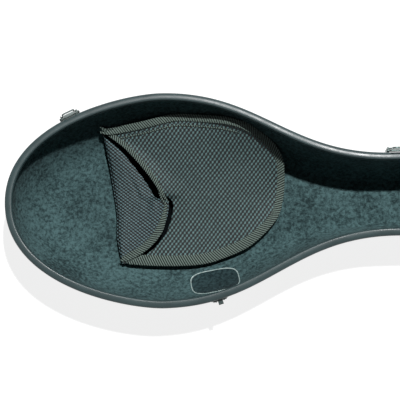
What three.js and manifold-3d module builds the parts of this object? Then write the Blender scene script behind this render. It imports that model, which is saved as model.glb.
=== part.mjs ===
// A hard cello case with an oval body and a straight neck. It lies open flat on the floor: the lid, with its
// lining and mesh pocket, points one way, and the base, with its pads, points the other way. The two halves
// are joined by a hinge at the scroll end. Millimetres, +Z up.
import * as THREE from 'three';
import { mergeVertices } from 'three/addons/utils/BufferGeometryUtils.js';
import Module from 'manifold-3d';

const wasm = await Module();
wasm.setup();

// Overall sizes
const case_length = 1340;
const case_width = 530;
const lid_depth = 150;
const foot_height = 12;
const base_depth = lid_depth - foot_height;
const clearance = 0.3;
const overrun = 2;

// Outline of one half, measured from its round end towards the scroll end
const bout_station = 384;
const neck_station = 948;
const neck_width = 205;
const scroll_corner = 62;
const end_fullness_share = 0.78;
const bout_back_share = 0.22;
const bout_front_share = 0.44;
const neck_back_share = 0.447;
const end_steps = 9;
const waist_steps = 12;
const neck_steps = 2;
const fine_end_steps = 80;
const fine_waist_steps = 120;
const fine_neck_steps = 4;
const corner_steps = 4;

// Bowl of a shell: straight under the rim, then drawn in towards the spine of the case
const wall = 4;
const draw_share = 0.42;
const bowl_power = 1.18;
const shell_turns = [0, 22, 44, 66, 90];

// Rim profile that grips the edge of a shell
const rim_width = 19;
const rim_height = 14;
const rim_overhang = 7;
const rim_crown = 5;
const rim_skin = 4.5;
const rim_chamfer = 2;

// Lining of plush on a thin board
const lining_thickness = 6;
const lining_gap = 1;
const lining_tuck = 1;

// Window in the lid lining, over the rivets of the side catch
const window_station = 510;
const window_length = 116;
const window_width = 46;
const window_drop = 92;
const window_place_share = 0.52;

// Hinge at the scroll end
const hinge_width = 90;
const hinge_knuckles = 5;
const knuckle_radius = 7;
const hinge_pin_radius = 3;
const leaf_thickness = 2.5;
const leaf_drop = 58;
const hinge_pad_margin = 6;
const end_gap = knuckle_radius + 1;

// Draw latch, in the place of its fitting: X along the rim, Y outwards, Z up from the rim plane
const latch_width = 52;
const latch_plate_thickness = 2;
const latch_plate_top = 17;
const latch_plate_bottom = 72;
const ear_thickness = 3;
const cheek_thickness = 2;
const pivot_out = 7;
const pivot_drop = 26;
const pivot_pin_radius = 2;
const bail_out = 14.5;
const bail_drop = 34;
const wire_radius = 2;
const bail_inner_width = 26;
const bail_reach = 56;
const bail_lean = 7.5;
const bend_share = 2.2;
const lever_tip_drop = 78;
const lever_web_start = 16;
const pad_corner = 8;
const pad_depth = 55;
const rivet_radius = 3.2;
const rivet_height = 1.4;
const plate_rivet_shares = [0.72, 0.9];
const hinge_rivet_shares = [[-0.32, 0.45], [0, 0.72], [0.32, 0.45]];
const catch_rivet_share = 0.62;

// Catch that a bail hooks over
const catch_width = 12;
const catch_plate_width = 34;
const catch_plate_drop = 38;
const catch_shelf = 2.7;
const catch_reach = 12;
const catch_lip = 4.5;

// Stations of the fittings along a half
const first_latch_station = 162;
const second_latch_station = 966;
const side_catch_station = 519;
const handle_station = 400;

// Carrying handle on the base
const handle_span = 170;
const handle_drop = 44;
const handle_arm = 44;
const handle_out = 13;
const handle_bar_radius = 5;
const grip_radius = 12;
const grip_length = 104;
const grip_groove = 1.5;
const grip_fingers = 4;
const grip_end_power = 0.35;
const bracket_eye_radius = 9;
const bracket_width = 12;
const bracket_foot = 17;
const bracket_thickness = 4;

// Feet and strap loops under the base
const foot_radius = 17;
const foot_taper = 3;
const foot_places = [[250, 104], [250, -104], [1150, 32], [1150, -32]];
const loop_width = 84;
const loop_rise = 9;
const loop_strap = 20;
const loop_thickness = 2.4;
const loop_places = [[180, 0], [905, 34], [905, -34]];

// Pads in the base
const pad_draw_share = 0.2;
const pad_low_turn = 66;
const pad_high_turn = 22;
const body_pad_ring = [10, 17];
const end_pad_ring = [-5, 5];
const pad_front_shares = [[0.8, 0], [1, 0.25], [0.85, 0.6], [0.8, 1]];
const pad_swell_share = 0.5;
const pad_swell_power = 0.4;
const cradle_station = 900;
const cradle_length = 64;
const cradle_top = 46;
const cradle_notch = 52;
const cradle_bevel = 3;
const cradle_gap = 4;
const cradle_middle_share = 0.78;
const cradle_waist_share = 0.86;
const strap_width = 34;
const strap_thickness = 2.5;
const strap_half_length = 66;

// Mesh pocket on the lid lining. Its place and size are shares of the lid, and its lines are shares of the
// pocket's length and width from its centre.
const pocket_station_share = 0.48734;
const pocket_length_share = 0.47679;
const pocket_offset_share = 0.06038;
const pocket_width_share = 0.70189;
const pocket_lift = 18;
const cloth_thickness = 1.6;
const tape_width = 19;
const tape_thickness = 2.6;
const film_waves = 5;
const film_samples = 48;
const outline_samples = 30;
const fold_samples = 10;
const cloth_steps = 14;
const front_rows = 8;
const flap_rows = 4;
const back_rows = 6;
const end_trim_share = 0.06;
const flap_trim_share = 0.14;
const tape_inner_share = 0.95;
const back_edge_share = 0.93;
const gusset_share = 0.985;
const pocket_edge_shares = [
  [-0.515, 0.43], [-0.29, 0.468], [-0.095, 0.512], [0.082, 0.492], [0.22, 0.46], [0.318, 0.414],
  [0.43, 0.322], [0.487, 0.228], [0.502, 0.13], [0.493, -0.04], [0.449, -0.198], [0.305, -0.366],
  [0.135, -0.455], [0.024, -0.486], [-0.115, -0.492], [-0.27, -0.483], [-0.411, -0.465],
];
const fold_shares = [[-0.434, -0.3], [-0.434, -0.137], [-0.46, 0.105], [-0.493, 0.355]];
const mouth_shares = [
  [-0.515, 0.43], [-0.383, 0.309], [-0.246, 0.113], [-0.175, -0.04], [-0.15, -0.1],
  [-0.19, -0.262], [-0.281, -0.382], [-0.411, -0.465],
];

const finish = (color, roughness, metalness = 0) =>
  new THREE.MeshStandardMaterial({ color, roughness, metalness });
const shell_plastic = finish('#39474a', 0.35);
const rim_plastic = finish('#3c4c4c', 0.3);
const plush = finish('#2b383a', 0.95);
const mesh_cloth = finish('#33423f', 0.85);
const binding = finish('#59635a', 0.8);
const bright_steel = finish('#b9bdbb', 0.3, 1);
const dark_metal = finish('#4b504d', 0.4, 1);
const rubber = finish('#1c1f1f', 0.8);
const pad_cloth = finish('#2a3537', 0.95);

const vec = (x, y, z = 0) => new THREE.Vector3(x, y, z);
const radians = THREE.MathUtils.degToRad;

// Closed solids

// A closed triangle mesh from points and triangles, turned so that its faces point outwards.
function closedGeometry(points, triangles) {
  let volume = 0;
  for (const [a, b, c] of triangles) {
    volume += points[a].dot(points[b].clone().cross(points[c]));
  }
  const order = volume < 0 ? triangles.map(([a, b, c]) => [a, c, b]) : triangles;
  const geometry = new THREE.BufferGeometry();
  geometry.setAttribute('position', new THREE.Float32BufferAttribute(points.flatMap((p) => [p.x, p.y, p.z]), 3));
  geometry.setIndex(order.flat());
  return geometry;
}

// Joins each loop of points to the next one. The run of loops either closes on itself or ends in caps.
function loft(loops, closed = false) {
  const count = loops[0].length;
  const triangles = [];
  const joins = closed ? loops.length : loops.length - 1;
  for (let row = 0; row < joins; row += 1) {
    const near = row * count;
    const far = ((row + 1) % loops.length) * count;
    for (let i = 0; i < count; i += 1) {
      const next = (i + 1) % count;
      triangles.push([near + i, near + next, far + next], [near + i, far + next, far + i]);
    }
  }
  if (!closed) {
    const last = (loops.length - 1) * count;
    for (const face of capFaces(loops[0])) {
      triangles.push([face[0], face[2], face[1]]);
    }
    for (const face of capFaces(loops[loops.length - 1])) {
      triangles.push(face.map((index) => index + last));
    }
  }
  return closedGeometry(loops.flat(), triangles);
}

// Triangles that fill a nearly flat loop, in the loop's own direction.
function capFaces(loop) {
  const normal = vec(0, 0, 0);
  loop.forEach((point, i) => normal.add(point.clone().cross(loop[(i + 1) % loop.length])));
  normal.normalize();
  const turn = new THREE.Quaternion().setFromUnitVectors(normal, vec(0, 0, 1));
  const flat = loop.map((point) => point.clone().applyQuaternion(turn));
  return THREE.ShapeUtils.triangulateShape(flat.map((p) => new THREE.Vector2(p.x, p.y)), []);
}

// A sheet with thickness: two grids of points with the same rows and columns, joined round their edges.
function sheetBetween(under, over) {
  const rows = under.length;
  const columns = under[0].length;
  const points = [...under.flat(), ...over.flat()];
  const above = rows * columns;
  const triangles = [];
  const quad = (a, b, c, d) => triangles.push([a, b, c], [a, c, d]);
  const at = (row, column) => row * columns + column;
  for (let row = 0; row + 1 < rows; row += 1) {
    for (let column = 0; column + 1 < columns; column += 1) {
      const a = at(row, column);
      const b = at(row, column + 1);
      const c = at(row + 1, column + 1);
      const d = at(row + 1, column);
      quad(a, d, c, b);
      quad(a + above, b + above, c + above, d + above);
    }
  }
  const upTo = (count) => Array.from({ length: count - 1 }, (_, i) => i);
  const border = [
    ...upTo(columns).map((column) => at(0, column)),
    ...upTo(rows).map((row) => at(row, columns - 1)),
    ...upTo(columns).map((column) => at(rows - 1, columns - 1 - column)),
    ...upTo(rows).map((row) => at(rows - 1 - row, 0)),
  ];
  border.forEach((a, i) => {
    const b = border[(i + 1) % border.length];
    quad(a, b, b + above, a + above);
  });
  return closedGeometry(points, triangles);
}

function solid(geometry) {
  const bare = geometry.clone();
  bare.deleteAttribute('normal');
  bare.deleteAttribute('uv');
  const merged = mergeVertices(bare, 1e-4);
  const vertProperties = new Float32Array(merged.attributes.position.array);
  const triVerts = new Uint32Array(merged.index.array);
  return new wasm.Manifold(new wasm.Mesh({ numProp: 3, vertProperties, triVerts }));
}

function geometryOf(body) {
  const mesh = body.getMesh();
  const geometry = new THREE.BufferGeometry();
  geometry.setAttribute('position', new THREE.BufferAttribute(new Float32Array(mesh.vertProperties), 3));
  geometry.setIndex(new THREE.BufferAttribute(new Uint32Array(mesh.triVerts), 1));
  return geometry;
}

function node(name, geometry, material, parent) {
  const mesh = new THREE.Mesh(geometry, material);
  mesh.name = name;
  parent.add(mesh);
  return mesh;
}

function moved(geometry, x, y, z) {
  return geometry.translate(x, y, z);
}

// An outline in Y and Z, carried along X and centred on it.
function crossBar(shape, length, options = {}) {
  const bar = new THREE.ExtrudeGeometry(shape, { depth: length, bevelEnabled: false, curveSegments: 4, ...options });
  bar.translate(0, 0, -length / 2);
  bar.applyMatrix4(new THREE.Matrix4().makeBasis(vec(0, 1, 0), vec(0, 0, 1), vec(1, 0, 0)));
  return bar;
}

function shapeOf(pairs) {
  return new THREE.Shape(pairs.map(([x, y]) => new THREE.Vector2(x, y)));
}

function roundedBox(width, height, corner) {
  const shape = new THREE.Shape();
  const x = width / 2 - corner;
  const y = height / 2 - corner;
  shape.absarc(x, y, corner, 0, Math.PI / 2);
  shape.absarc(-x, y, corner, Math.PI / 2, Math.PI);
  shape.absarc(-x, -y, corner, Math.PI, Math.PI * 1.5);
  shape.absarc(x, -y, corner, Math.PI * 1.5, Math.PI * 2);
  return shape;
}

// A pin along X.
function crossPin(radius, length, sides = 12) {
  return new THREE.CylinderGeometry(radius, radius, length, sides).rotateZ(Math.PI / 2);
}

// Outline of a half

const half_width = case_width / 2;
const neck_half = neck_width / 2;
const waist = neck_station - bout_station;
const pocket_station = neck_station * pocket_station_share;
const pocket_length = neck_station * pocket_length_share;
const pocket_offset = case_width * pocket_offset_share;
const pocket_width = case_width * pocket_width_share;

const quarter = new THREE.CubicBezierCurve(
  new THREE.Vector2(0, 0),
  new THREE.Vector2(0, half_width * end_fullness_share),
  new THREE.Vector2(bout_station * (1 - bout_back_share), half_width),
  new THREE.Vector2(bout_station, half_width),
);
const shoulder = new THREE.CubicBezierCurve(
  new THREE.Vector2(bout_station, half_width),
  new THREE.Vector2(bout_station + waist * bout_front_share, half_width),
  new THREE.Vector2(neck_station - waist * neck_back_share, neck_half),
  new THREE.Vector2(neck_station, neck_half),
);
const neck = new THREE.LineCurve(
  new THREE.Vector2(neck_station, neck_half),
  new THREE.Vector2(case_length - scroll_corner, neck_half),
);
const corner = new THREE.EllipseCurve(
  case_length - scroll_corner,
  neck_half - scroll_corner,
  scroll_corner,
  scroll_corner,
  Math.PI / 2,
  0,
  true,
);
const side_points = [
  ...quarter.getPoints(end_steps),
  ...shoulder.getPoints(waist_steps).slice(1),
  ...neck.getPoints(neck_steps).slice(1),
  ...corner.getPoints(corner_steps).slice(1),
];
const other_side = side_points.slice(1).reverse().map((p) => new THREE.Vector2(p.x, -p.y));
const outline = [...side_points, ...other_side];

// Inward normal at each point of the outline, across the chord of its neighbours.
const inward = outline.map((point, i) => {
  const before = outline[(i + outline.length - 1) % outline.length];
  const after = outline[(i + 1) % outline.length];
  const along = after.clone().sub(before).normalize();
  return new THREE.Vector2(along.y, -along.x);
});
const spine_start = half_width;
const spine_end = case_length - neck_half;

// The outline moved in by an inset, then drawn in towards the spine by a share, at a height.
function ringPoint(i, inset, draw, z) {
  const point = outline[i].clone().addScaledVector(inward[i], inset);
  const spine = new THREE.Vector2(THREE.MathUtils.clamp(outline[i].x, spine_start, spine_end), 0);
  point.lerp(spine, draw);
  return vec(point.x, point.y, z);
}

function ring(inset, draw, z) {
  return outline.map((_, i) => ringPoint(i, inset, draw, z));
}

// Drawn-in share and height of the bowl at a turn from 0 degrees, upright wall, to 90 degrees, flat floor.
function bowl(turn, depth) {
  const angle = radians(turn);
  return {
    draw: draw_share * (1 - Math.max(Math.cos(angle), 0) ** bowl_power),
    z: -rim_height - (depth - rim_height) * Math.sin(angle) ** bowl_power,
  };
}

function bowlRings(inset, depth, turns) {
  return turns.map((turn) => {
    const level = bowl(turn, depth);
    return ring(inset, level.draw, level.z);
  });
}

const side_curve = [
  ...quarter.getPoints(fine_end_steps),
  ...shoulder.getPoints(fine_waist_steps).slice(1),
  ...neck.getPoints(fine_neck_steps).slice(1),
];

// Half width of the outline and its slope at a station.
function outlineAt(station) {
  const index = side_curve.findIndex((point) => point.x >= station);
  const after = side_curve[index];
  const before = side_curve[index - 1];
  const share = (station - before.x) / (after.x - before.x);
  return {
    y: THREE.MathUtils.lerp(before.y, after.y, share),
    slope: Math.atan2(after.y - before.y, after.x - before.x),
  };
}

// A place on the outer edge of the rim: X runs along the rim, Y points outwards.
function sidePlace(station, side) {
  const at = outlineAt(station);
  const place = new THREE.Object3D();
  place.position.set(station, at.y * side, 0);
  place.rotation.z = side > 0 ? at.slope : Math.PI - at.slope;
  place.updateMatrix();
  return place;
}

function endPlace() {
  const place = new THREE.Object3D();
  place.position.set(case_length, 0, 0);
  place.rotation.z = -Math.PI / 2;
  place.updateMatrix();
  return place;
}

function groupAt(place, parent) {
  const group = new THREE.Group();
  group.position.copy(place.position);
  group.rotation.copy(place.rotation);
  parent.add(group);
  return group;
}

// Shells

// A moulded seat on the outside of a shell, between a top and a bottom height, with its face at a reach.
function seat(place, width, top, bottom, face) {
  const shape = roundedBox(width, top - bottom, pad_corner);
  const block = new THREE.ExtrudeGeometry(shape, { depth: pad_depth, bevelEnabled: false, curveSegments: 2 });
  block.rotateX(Math.PI / 2);
  block.translate(0, face, (top + bottom) / 2);
  return solid(block.applyMatrix4(place.matrix));
}

function shellSolid(depth, seats) {
  const top = -rim_crown;
  const outer = loft([ring(rim_overhang, 0, top), ...bowlRings(rim_overhang, depth, shell_turns)]);
  const inner_inset = rim_overhang + wall;
  const inner = loft([ring(inner_inset, 0, top + overrun), ...bowlRings(inner_inset, depth - wall, shell_turns)]);
  let body = solid(outer);
  for (const extra of seats) {
    body = body.add(extra);
  }
  return body.subtract(solid(inner));
}

const rim_bottom = -rim_height;
const groove_outer = rim_overhang - clearance;
const groove_inner = rim_overhang + wall + clearance;
const groove_top = -rim_crown + clearance;
const rim_profile = [
  [rim_chamfer, rim_bottom + clearance],
  [0, rim_bottom + rim_chamfer * 1.5],
  [0, -rim_skin],
  [rim_chamfer, -rim_skin / 4],
  [rim_overhang, 0],
  [rim_width - rim_overhang, 0],
  [rim_width - rim_chamfer, -rim_skin / 4],
  [rim_width, -rim_skin],
  [rim_width, rim_bottom + clearance],
  [groove_inner, rim_bottom + clearance],
  [groove_inner, groove_top],
  [groove_outer, groove_top],
  [groove_outer, rim_bottom + clearance],
];

function rimGeometry() {
  return loft(rim_profile.map(([inset, z]) => ring(inset, 0, z)), true);
}

// Lining with its upper edge tucked under the rim.
const lining_outer = rim_overhang + wall + lining_gap;
const lining_inner = lining_outer + lining_thickness - lining_tuck;
const lining_top = rim_bottom - clearance;

function liningSolid(depth, cuts) {
  const outer_depth = depth - wall - lining_gap;
  const inner_depth = outer_depth - lining_thickness;
  const outer = bowlRings(lining_outer, outer_depth, shell_turns);
  const inner = bowlRings(lining_inner, inner_depth, shell_turns);
  outer[0].forEach((point) => point.setZ(lining_top));
  inner[0].forEach((point) => point.setZ(lining_top));
  let body = solid(loft([...outer.reverse(), ...inner]));
  for (const cut of cuts) {
    body = body.subtract(cut);
  }
  return body;
}

// Draw latch: plate with two ears, pin, lever and wire bail

function latchPlate() {
  const height = latch_plate_bottom - latch_plate_top;
  const sheet = new THREE.BoxGeometry(latch_width, latch_plate_thickness, height);
  moved(sheet, 0, latch_plate_thickness / 2, -latch_plate_top - height / 2);
  let body = solid(sheet);
  const ear = new THREE.Shape();
  const ear_radius = pivot_pin_radius * 2.4;
  ear.moveTo(0, -latch_plate_top);
  ear.lineTo(pivot_out, -pivot_drop + ear_radius);
  ear.absarc(pivot_out, -pivot_drop, ear_radius, Math.PI / 2, -Math.PI / 2, true);
  ear.lineTo(0, -pivot_drop - ear_radius * 2);
  for (const side of [-1, 1]) {
    const plate = crossBar(ear, ear_thickness);
    body = body.add(solid(moved(plate, side * (latch_width - ear_thickness) / 2, 0, 0)));
    for (const drop of plate_rivet_shares) {
      const rivet = new THREE.CylinderGeometry(rivet_radius / 2, rivet_radius, rivet_height + overrun / 2, 8);
      const z = -latch_plate_top - height * drop;
      const y = latch_plate_thickness + (rivet_height - overrun / 2) / 2;
      body = body.add(solid(moved(rivet, side * latch_width / 4, y, z)));
    }
  }
  const bore = moved(crossPin(pivot_pin_radius + clearance, latch_width + overrun), 0, pivot_out, -pivot_drop);
  return geometryOf(body.subtract(solid(bore)));
}

// Lever in its pivot's frame: two cheeks that hold the bail, and a web that the hand lifts.
function latchLever() {
  const inner = latch_width / 2 - ear_thickness - clearance;
  const bail_y = bail_out - pivot_out;
  const bail_z = pivot_drop - bail_drop;
  const boss = pivot_pin_radius * 2.1;
  const tip = pivot_drop - lever_tip_drop;
  const cheek = new THREE.Shape();
  cheek.absarc(0, 0, boss, Math.PI, Math.PI * 0.3, true);
  cheek.lineTo(bail_y + boss * 0.7, bail_z + boss * 0.7);
  cheek.absarc(bail_y, bail_z, boss, Math.PI * 0.25, -Math.PI * 0.1, true);
  cheek.lineTo(bail_y + boss, -lever_web_start - boss);
  cheek.lineTo(bail_y, tip + boss);
  cheek.lineTo(bail_y - boss, tip + boss);
  cheek.lineTo(-boss * 0.5, bail_z - boss * 2);
  const web_out = bail_y + boss - clearance;
  const web = new THREE.Shape();
  web.moveTo(web_out - cheek_thickness, -lever_web_start);
  web.lineTo(web_out, -lever_web_start);
  web.quadraticCurveTo(web_out - clearance, tip * 0.6, bail_y + overrun, tip);
  web.lineTo(bail_y + boss, tip - overrun * 2);
  web.lineTo(bail_y + overrun, tip - overrun * 2);
  web.lineTo(bail_y - overrun / 2, tip);
  web.quadraticCurveTo(web_out - clearance - cheek_thickness, tip * 0.6, web_out - cheek_thickness, -lever_web_start);
  let body = solid(crossBar(web, inner * 2));
  for (const side of [-1, 1]) {
    const plate = crossBar(cheek, cheek_thickness);
    body = body.add(solid(moved(plate, side * (inner - cheek_thickness / 2), 0, 0)));
  }
  body = body.subtract(solid(crossPin(pivot_pin_radius + clearance, latch_width)));
  const eye = moved(crossPin(wire_radius + clearance, latch_width), 0, bail_y, bail_z);
  return geometryOf(body.subtract(solid(eye)));
}

// A wire bent into a U that stands on Z, with its two feet turned outwards along X.
function bentWire(half_gap, foot, reach, radius, steps) {
  const bend = radius * bend_share;
  const path = new THREE.CurvePath();
  const corners = [
    vec(half_gap + foot, 0, 0),
    vec(half_gap, 0, 0),
    vec(half_gap, 0, reach),
    vec(-half_gap, 0, reach),
    vec(-half_gap, 0, 0),
    vec(-half_gap - foot, 0, 0),
  ];
  let from = corners[0];
  for (let i = 1; i < corners.length - 1; i += 1) {
    const back = corners[i - 1].clone().sub(corners[i]).setLength(bend).add(corners[i]);
    const ahead = corners[i + 1].clone().sub(corners[i]).setLength(bend).add(corners[i]);
    path.add(new THREE.LineCurve3(from, back));
    path.add(new THREE.QuadraticBezierCurve3(back, corners[i], ahead));
    from = ahead;
  }
  path.add(new THREE.LineCurve3(from, corners[corners.length - 1]));
  const section = new THREE.Shape();
  section.absarc(0, 0, radius, 0, Math.PI * 2);
  return new THREE.ExtrudeGeometry(section, { extrudePath: path, steps, curveSegments: 3 });
}

function addLatch(name, place, parent) {
  const group = groupAt(place, parent);
  node(`${name}_plate`, latchPlate(), dark_metal, group);
  const pin = node(`${name}_pin`, crossPin(pivot_pin_radius, latch_width + overrun), bright_steel, group);
  pin.position.set(0, pivot_out, -pivot_drop);
  const lever = node(`${name}_lever`, latchLever(), bright_steel, group);
  lever.position.set(0, pivot_out, -pivot_drop);
  const foot = latch_width / 2 - ear_thickness - clearance * 2 - bail_inner_width / 2;
  const wire = bentWire(bail_inner_width / 2 + wire_radius, foot - wire_radius, bail_reach, wire_radius, 24);
  const bail = node(`${name}_bail`, wire, bright_steel, group);
  bail.position.set(0, bail_out, -bail_drop);
  bail.rotation.x = Math.atan2(bail_lean, bail_reach);
}

// Catch: a plate whose tongue runs out over the wire of a bail and turns down behind it.
function catchGeometry() {
  const rise = bail_reach * Math.cos(Math.atan2(bail_lean, bail_reach)) - bail_drop;
  const shelf_low = -(rise - wire_radius - clearance);
  const shelf_high = shelf_low + catch_shelf;
  const hook = shapeOf([
    [0, shelf_high],
    [catch_reach - catch_shelf / 2, shelf_high],
    [catch_reach, shelf_high - catch_shelf / 2],
    [catch_reach, shelf_high - catch_lip],
    [catch_reach - catch_shelf, shelf_high - catch_lip],
    [catch_reach - catch_shelf, shelf_low],
    [0, shelf_low],
  ]);
  const height = catch_plate_drop + shelf_high;
  const plate = new THREE.ExtrudeGeometry(roundedBox(catch_plate_width, height, pad_corner / 2), {
    depth: latch_plate_thickness,
    bevelEnabled: false,
    curveSegments: 3,
  });
  plate.rotateX(Math.PI / 2);
  moved(plate, 0, latch_plate_thickness, shelf_high - height / 2);
  let body = solid(plate).add(solid(crossBar(hook, catch_width)));
  for (const side of [-1, 1]) {
    const rivet = new THREE.CylinderGeometry(rivet_radius / 2, rivet_radius, rivet_height + overrun / 2, 8);
    const y = latch_plate_thickness + (rivet_height - overrun / 2) / 2;
    body = body.add(solid(moved(rivet, side * catch_plate_width / 3.4, y, shelf_high - height * catch_rivet_share)));
  }
  return geometryOf(body);
}

const latch_seat_width = latch_width + pad_corner;
const seat_top = rim_bottom - clearance;
const latch_seat_bottom = -latch_plate_bottom - pad_corner / 2;
const catch_seat_bottom = -catch_plate_drop - pad_corner / 2;

function latchSeat(place) {
  return seat(place, latch_seat_width, seat_top, latch_seat_bottom, -clearance);
}

function catchSeat(place) {
  return seat(place, catch_plate_width + pad_corner, seat_top, catch_seat_bottom, -clearance);
}

// Hinge: leaves with interleaved knuckles on one pin. A leaf hangs down from the pin in front of its seat.
const leaf_out = end_gap - knuckle_radius;

function hingeLeaf(first) {
  const height = leaf_drop;
  const sheet = roundedBox(hinge_width, height - knuckle_radius, pad_corner / 2);
  const plate = new THREE.ExtrudeGeometry(sheet, { depth: leaf_thickness, bevelEnabled: false, curveSegments: 3 });
  plate.rotateX(Math.PI / 2);
  moved(plate, 0, leaf_out + leaf_thickness, -knuckle_radius - clearance - (height - knuckle_radius) / 2);
  let body = solid(plate);
  const pitch = hinge_width / hinge_knuckles;
  for (let i = first; i < hinge_knuckles; i += 2) {
    const x = -hinge_width / 2 + pitch * (i + 0.5);
    const length = pitch - clearance;
    const barrel = moved(crossPin(knuckle_radius, length, 16), x, end_gap, 0);
    const neck_height = knuckle_radius * 2;
    const neck_plate = new THREE.BoxGeometry(length, leaf_thickness, neck_height);
    moved(neck_plate, x, leaf_out + leaf_thickness / 2, -neck_height / 2);
    body = body.add(solid(barrel)).add(solid(neck_plate));
  }
  for (const [x, z] of hinge_rivet_shares) {
    const rivet = new THREE.CylinderGeometry(rivet_radius / 2, rivet_radius, rivet_height + overrun / 2, 8);
    const y = leaf_out + leaf_thickness + (rivet_height - overrun / 2) / 2;
    body = body.add(solid(moved(rivet, x * hinge_width, y, -height * z)));
  }
  const bore = moved(crossPin(hinge_pin_radius + clearance, hinge_width + overrun), 0, end_gap, 0);
  return geometryOf(body.subtract(solid(bore)));
}

function hingeSeat() {
  const bottom = -leaf_drop - hinge_pad_margin;
  return seat(endPlace(), hinge_width + hinge_pad_margin * 2, seat_top, bottom, leaf_out - clearance);
}

// The two halves

const far_end = case_length + end_gap;
const whole = new THREE.Group();
const lid = new THREE.Group();
lid.position.x = -far_end;
const base = new THREE.Group();
base.position.x = far_end;
base.rotation.z = Math.PI;
whole.add(lid, base);

// Lid

const lid_latch_places = [sidePlace(first_latch_station, 1), sidePlace(second_latch_station, 1)];
const lid_catch_place = sidePlace(side_catch_station, -1);
const lid_seats = [...lid_latch_places.map(latchSeat), catchSeat(lid_catch_place), hingeSeat()];
node('lid_shell', geometryOf(shellSolid(lid_depth, lid_seats)), shell_plastic, lid);
node('lid_rim', rimGeometry(), rim_plastic, lid);

// The window is an oval that looks down the sloping side of the bowl.
function windowCut() {
  const at = outlineAt(window_station);
  const oval = roundedBox(window_length, window_width, window_width / 2 - clearance);
  const depth = lid_depth;
  const cut = new THREE.ExtrudeGeometry(oval, { depth, bevelEnabled: false, curveSegments: 6 });
  cut.rotateZ(-at.slope);
  moved(cut, window_station, -at.y + window_drop * window_place_share, -lid_depth);
  return solid(cut);
}
const lid_lining = node('lid_lining', geometryOf(liningSolid(lid_depth, [windowCut()])), plush, lid);

lid_latch_places.forEach((place, i) => addLatch(`lid_latch_${i + 1}`, place, lid));
node('lid_catch', catchGeometry(), dark_metal, groupAt(lid_catch_place, lid));

const hinge_place = groupAt(endPlace(), lid);
node('hinge_leaf_lid', hingeLeaf(1), dark_metal, hinge_place);
const hinge_pin = node('hinge_pin', crossPin(hinge_pin_radius, hinge_width + overrun), bright_steel, hinge_place);
hinge_pin.position.y = end_gap;

// Base

const base_catch_places = [sidePlace(first_latch_station, -1), sidePlace(second_latch_station, -1)];
const base_latch_place = sidePlace(side_catch_station, 1);
const handle_place = sidePlace(handle_station, -1);
const handle_seats = [-1, 1].map((side) => {
  const place = new THREE.Object3D();
  place.position.set(side * handle_span / 2, 0, 0).applyMatrix4(handle_place.matrix);
  place.rotation.copy(handle_place.rotation);
  place.updateMatrix();
  const half = bracket_foot + pad_corner / 2;
  return seat(place, half * 2, Math.min(-handle_drop + half, seat_top), -handle_drop - half, -clearance);
});
const base_seats = [...base_catch_places.map(catchSeat), latchSeat(base_latch_place), hingeSeat(), ...handle_seats];
node('base_shell', geometryOf(shellSolid(base_depth, base_seats)), shell_plastic, base);
node('base_rim', rimGeometry(), rim_plastic, base);
node('base_lining', geometryOf(liningSolid(base_depth, [])), plush, base);
node('hinge_leaf_base', hingeLeaf(0), dark_metal, groupAt(endPlace(), base));
base_catch_places.forEach((place, i) => {
  node(`base_catch_${i + 1}`, catchGeometry(), dark_metal, groupAt(place, base));
});
addLatch('base_latch', base_latch_place, base);

// Handle: two brackets, a bent bar that swings in their eyes, and a grip round the bar.
const handle_group = groupAt(handle_place, base);
for (const side of [-1, 1]) {
  const eye = new THREE.Shape();
  eye.moveTo(0, bracket_foot);
  eye.lineTo(bracket_thickness, bracket_foot);
  eye.lineTo(handle_out, bracket_eye_radius);
  eye.absarc(handle_out, 0, bracket_eye_radius, Math.PI / 2, -Math.PI / 2, true);
  eye.lineTo(bracket_thickness, -bracket_foot);
  eye.lineTo(0, -bracket_foot);
  const bore = new THREE.Path();
  bore.absarc(handle_out, 0, handle_bar_radius + clearance, 0, Math.PI * 2);
  eye.holes.push(bore);
  const name = side < 0 ? 'handle_bracket_1' : 'handle_bracket_2';
  const bracket = node(name, crossBar(eye, bracket_width, { curveSegments: 8 }), shell_plastic, handle_group);
  bracket.position.set(side * handle_span / 2, 0, -handle_drop);
}
const handle_swing = new THREE.Group();
handle_swing.position.set(0, handle_out, -handle_drop);
handle_swing.rotation.x = Math.PI;
handle_group.add(handle_swing);
const handle_bend = handle_bar_radius * bend_share;
const arm_gap = handle_span / 2 - bracket_width / 2 - handle_bend - clearance;
const bar = bentWire(arm_gap, bracket_width + handle_bend + overrun, handle_arm, handle_bar_radius, 28);
node('handle_bar', bar, dark_metal, handle_swing);
const grip_bore = handle_bar_radius + clearance;
const grip_points = [new THREE.Vector2(grip_bore, -grip_length / 2)];
const grip_steps = grip_fingers * 4;
for (let i = 0; i <= grip_steps; i += 1) {
  const share = i / grip_steps;
  const ends = Math.sin(Math.PI * share) ** grip_end_power;
  const wave = Math.cos(share * grip_fingers * Math.PI * 2);
  const radius = grip_bore + overrun + (grip_radius - grip_bore - overrun) * ends - grip_groove * (1 + wave) / 2 * ends;
  grip_points.push(new THREE.Vector2(radius, grip_length * (share - 0.5)));
}
grip_points.push(new THREE.Vector2(grip_bore, grip_length / 2));
grip_points.push(grip_points[0].clone());
const grip = node('handle_grip', new THREE.LatheGeometry(grip_points, 12).rotateZ(Math.PI / 2), rubber, handle_swing);
grip.position.z = handle_arm;

// Feet under the base
foot_places.forEach(([x, y], i) => {
  const top = -base_depth - clearance;
  const profile = [
    new THREE.Vector2(0, -base_depth - foot_height),
    new THREE.Vector2(foot_radius - foot_taper, -base_depth - foot_height),
    new THREE.Vector2(foot_radius, top - foot_height / 3),
    new THREE.Vector2(foot_radius, top),
    new THREE.Vector2(0, top),
  ];
  const foot = node(`foot_${i + 1}`, new THREE.LatheGeometry(profile, 16).rotateX(Math.PI / 2), rubber, base);
  foot.position.set(x, y, 0);
});

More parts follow.
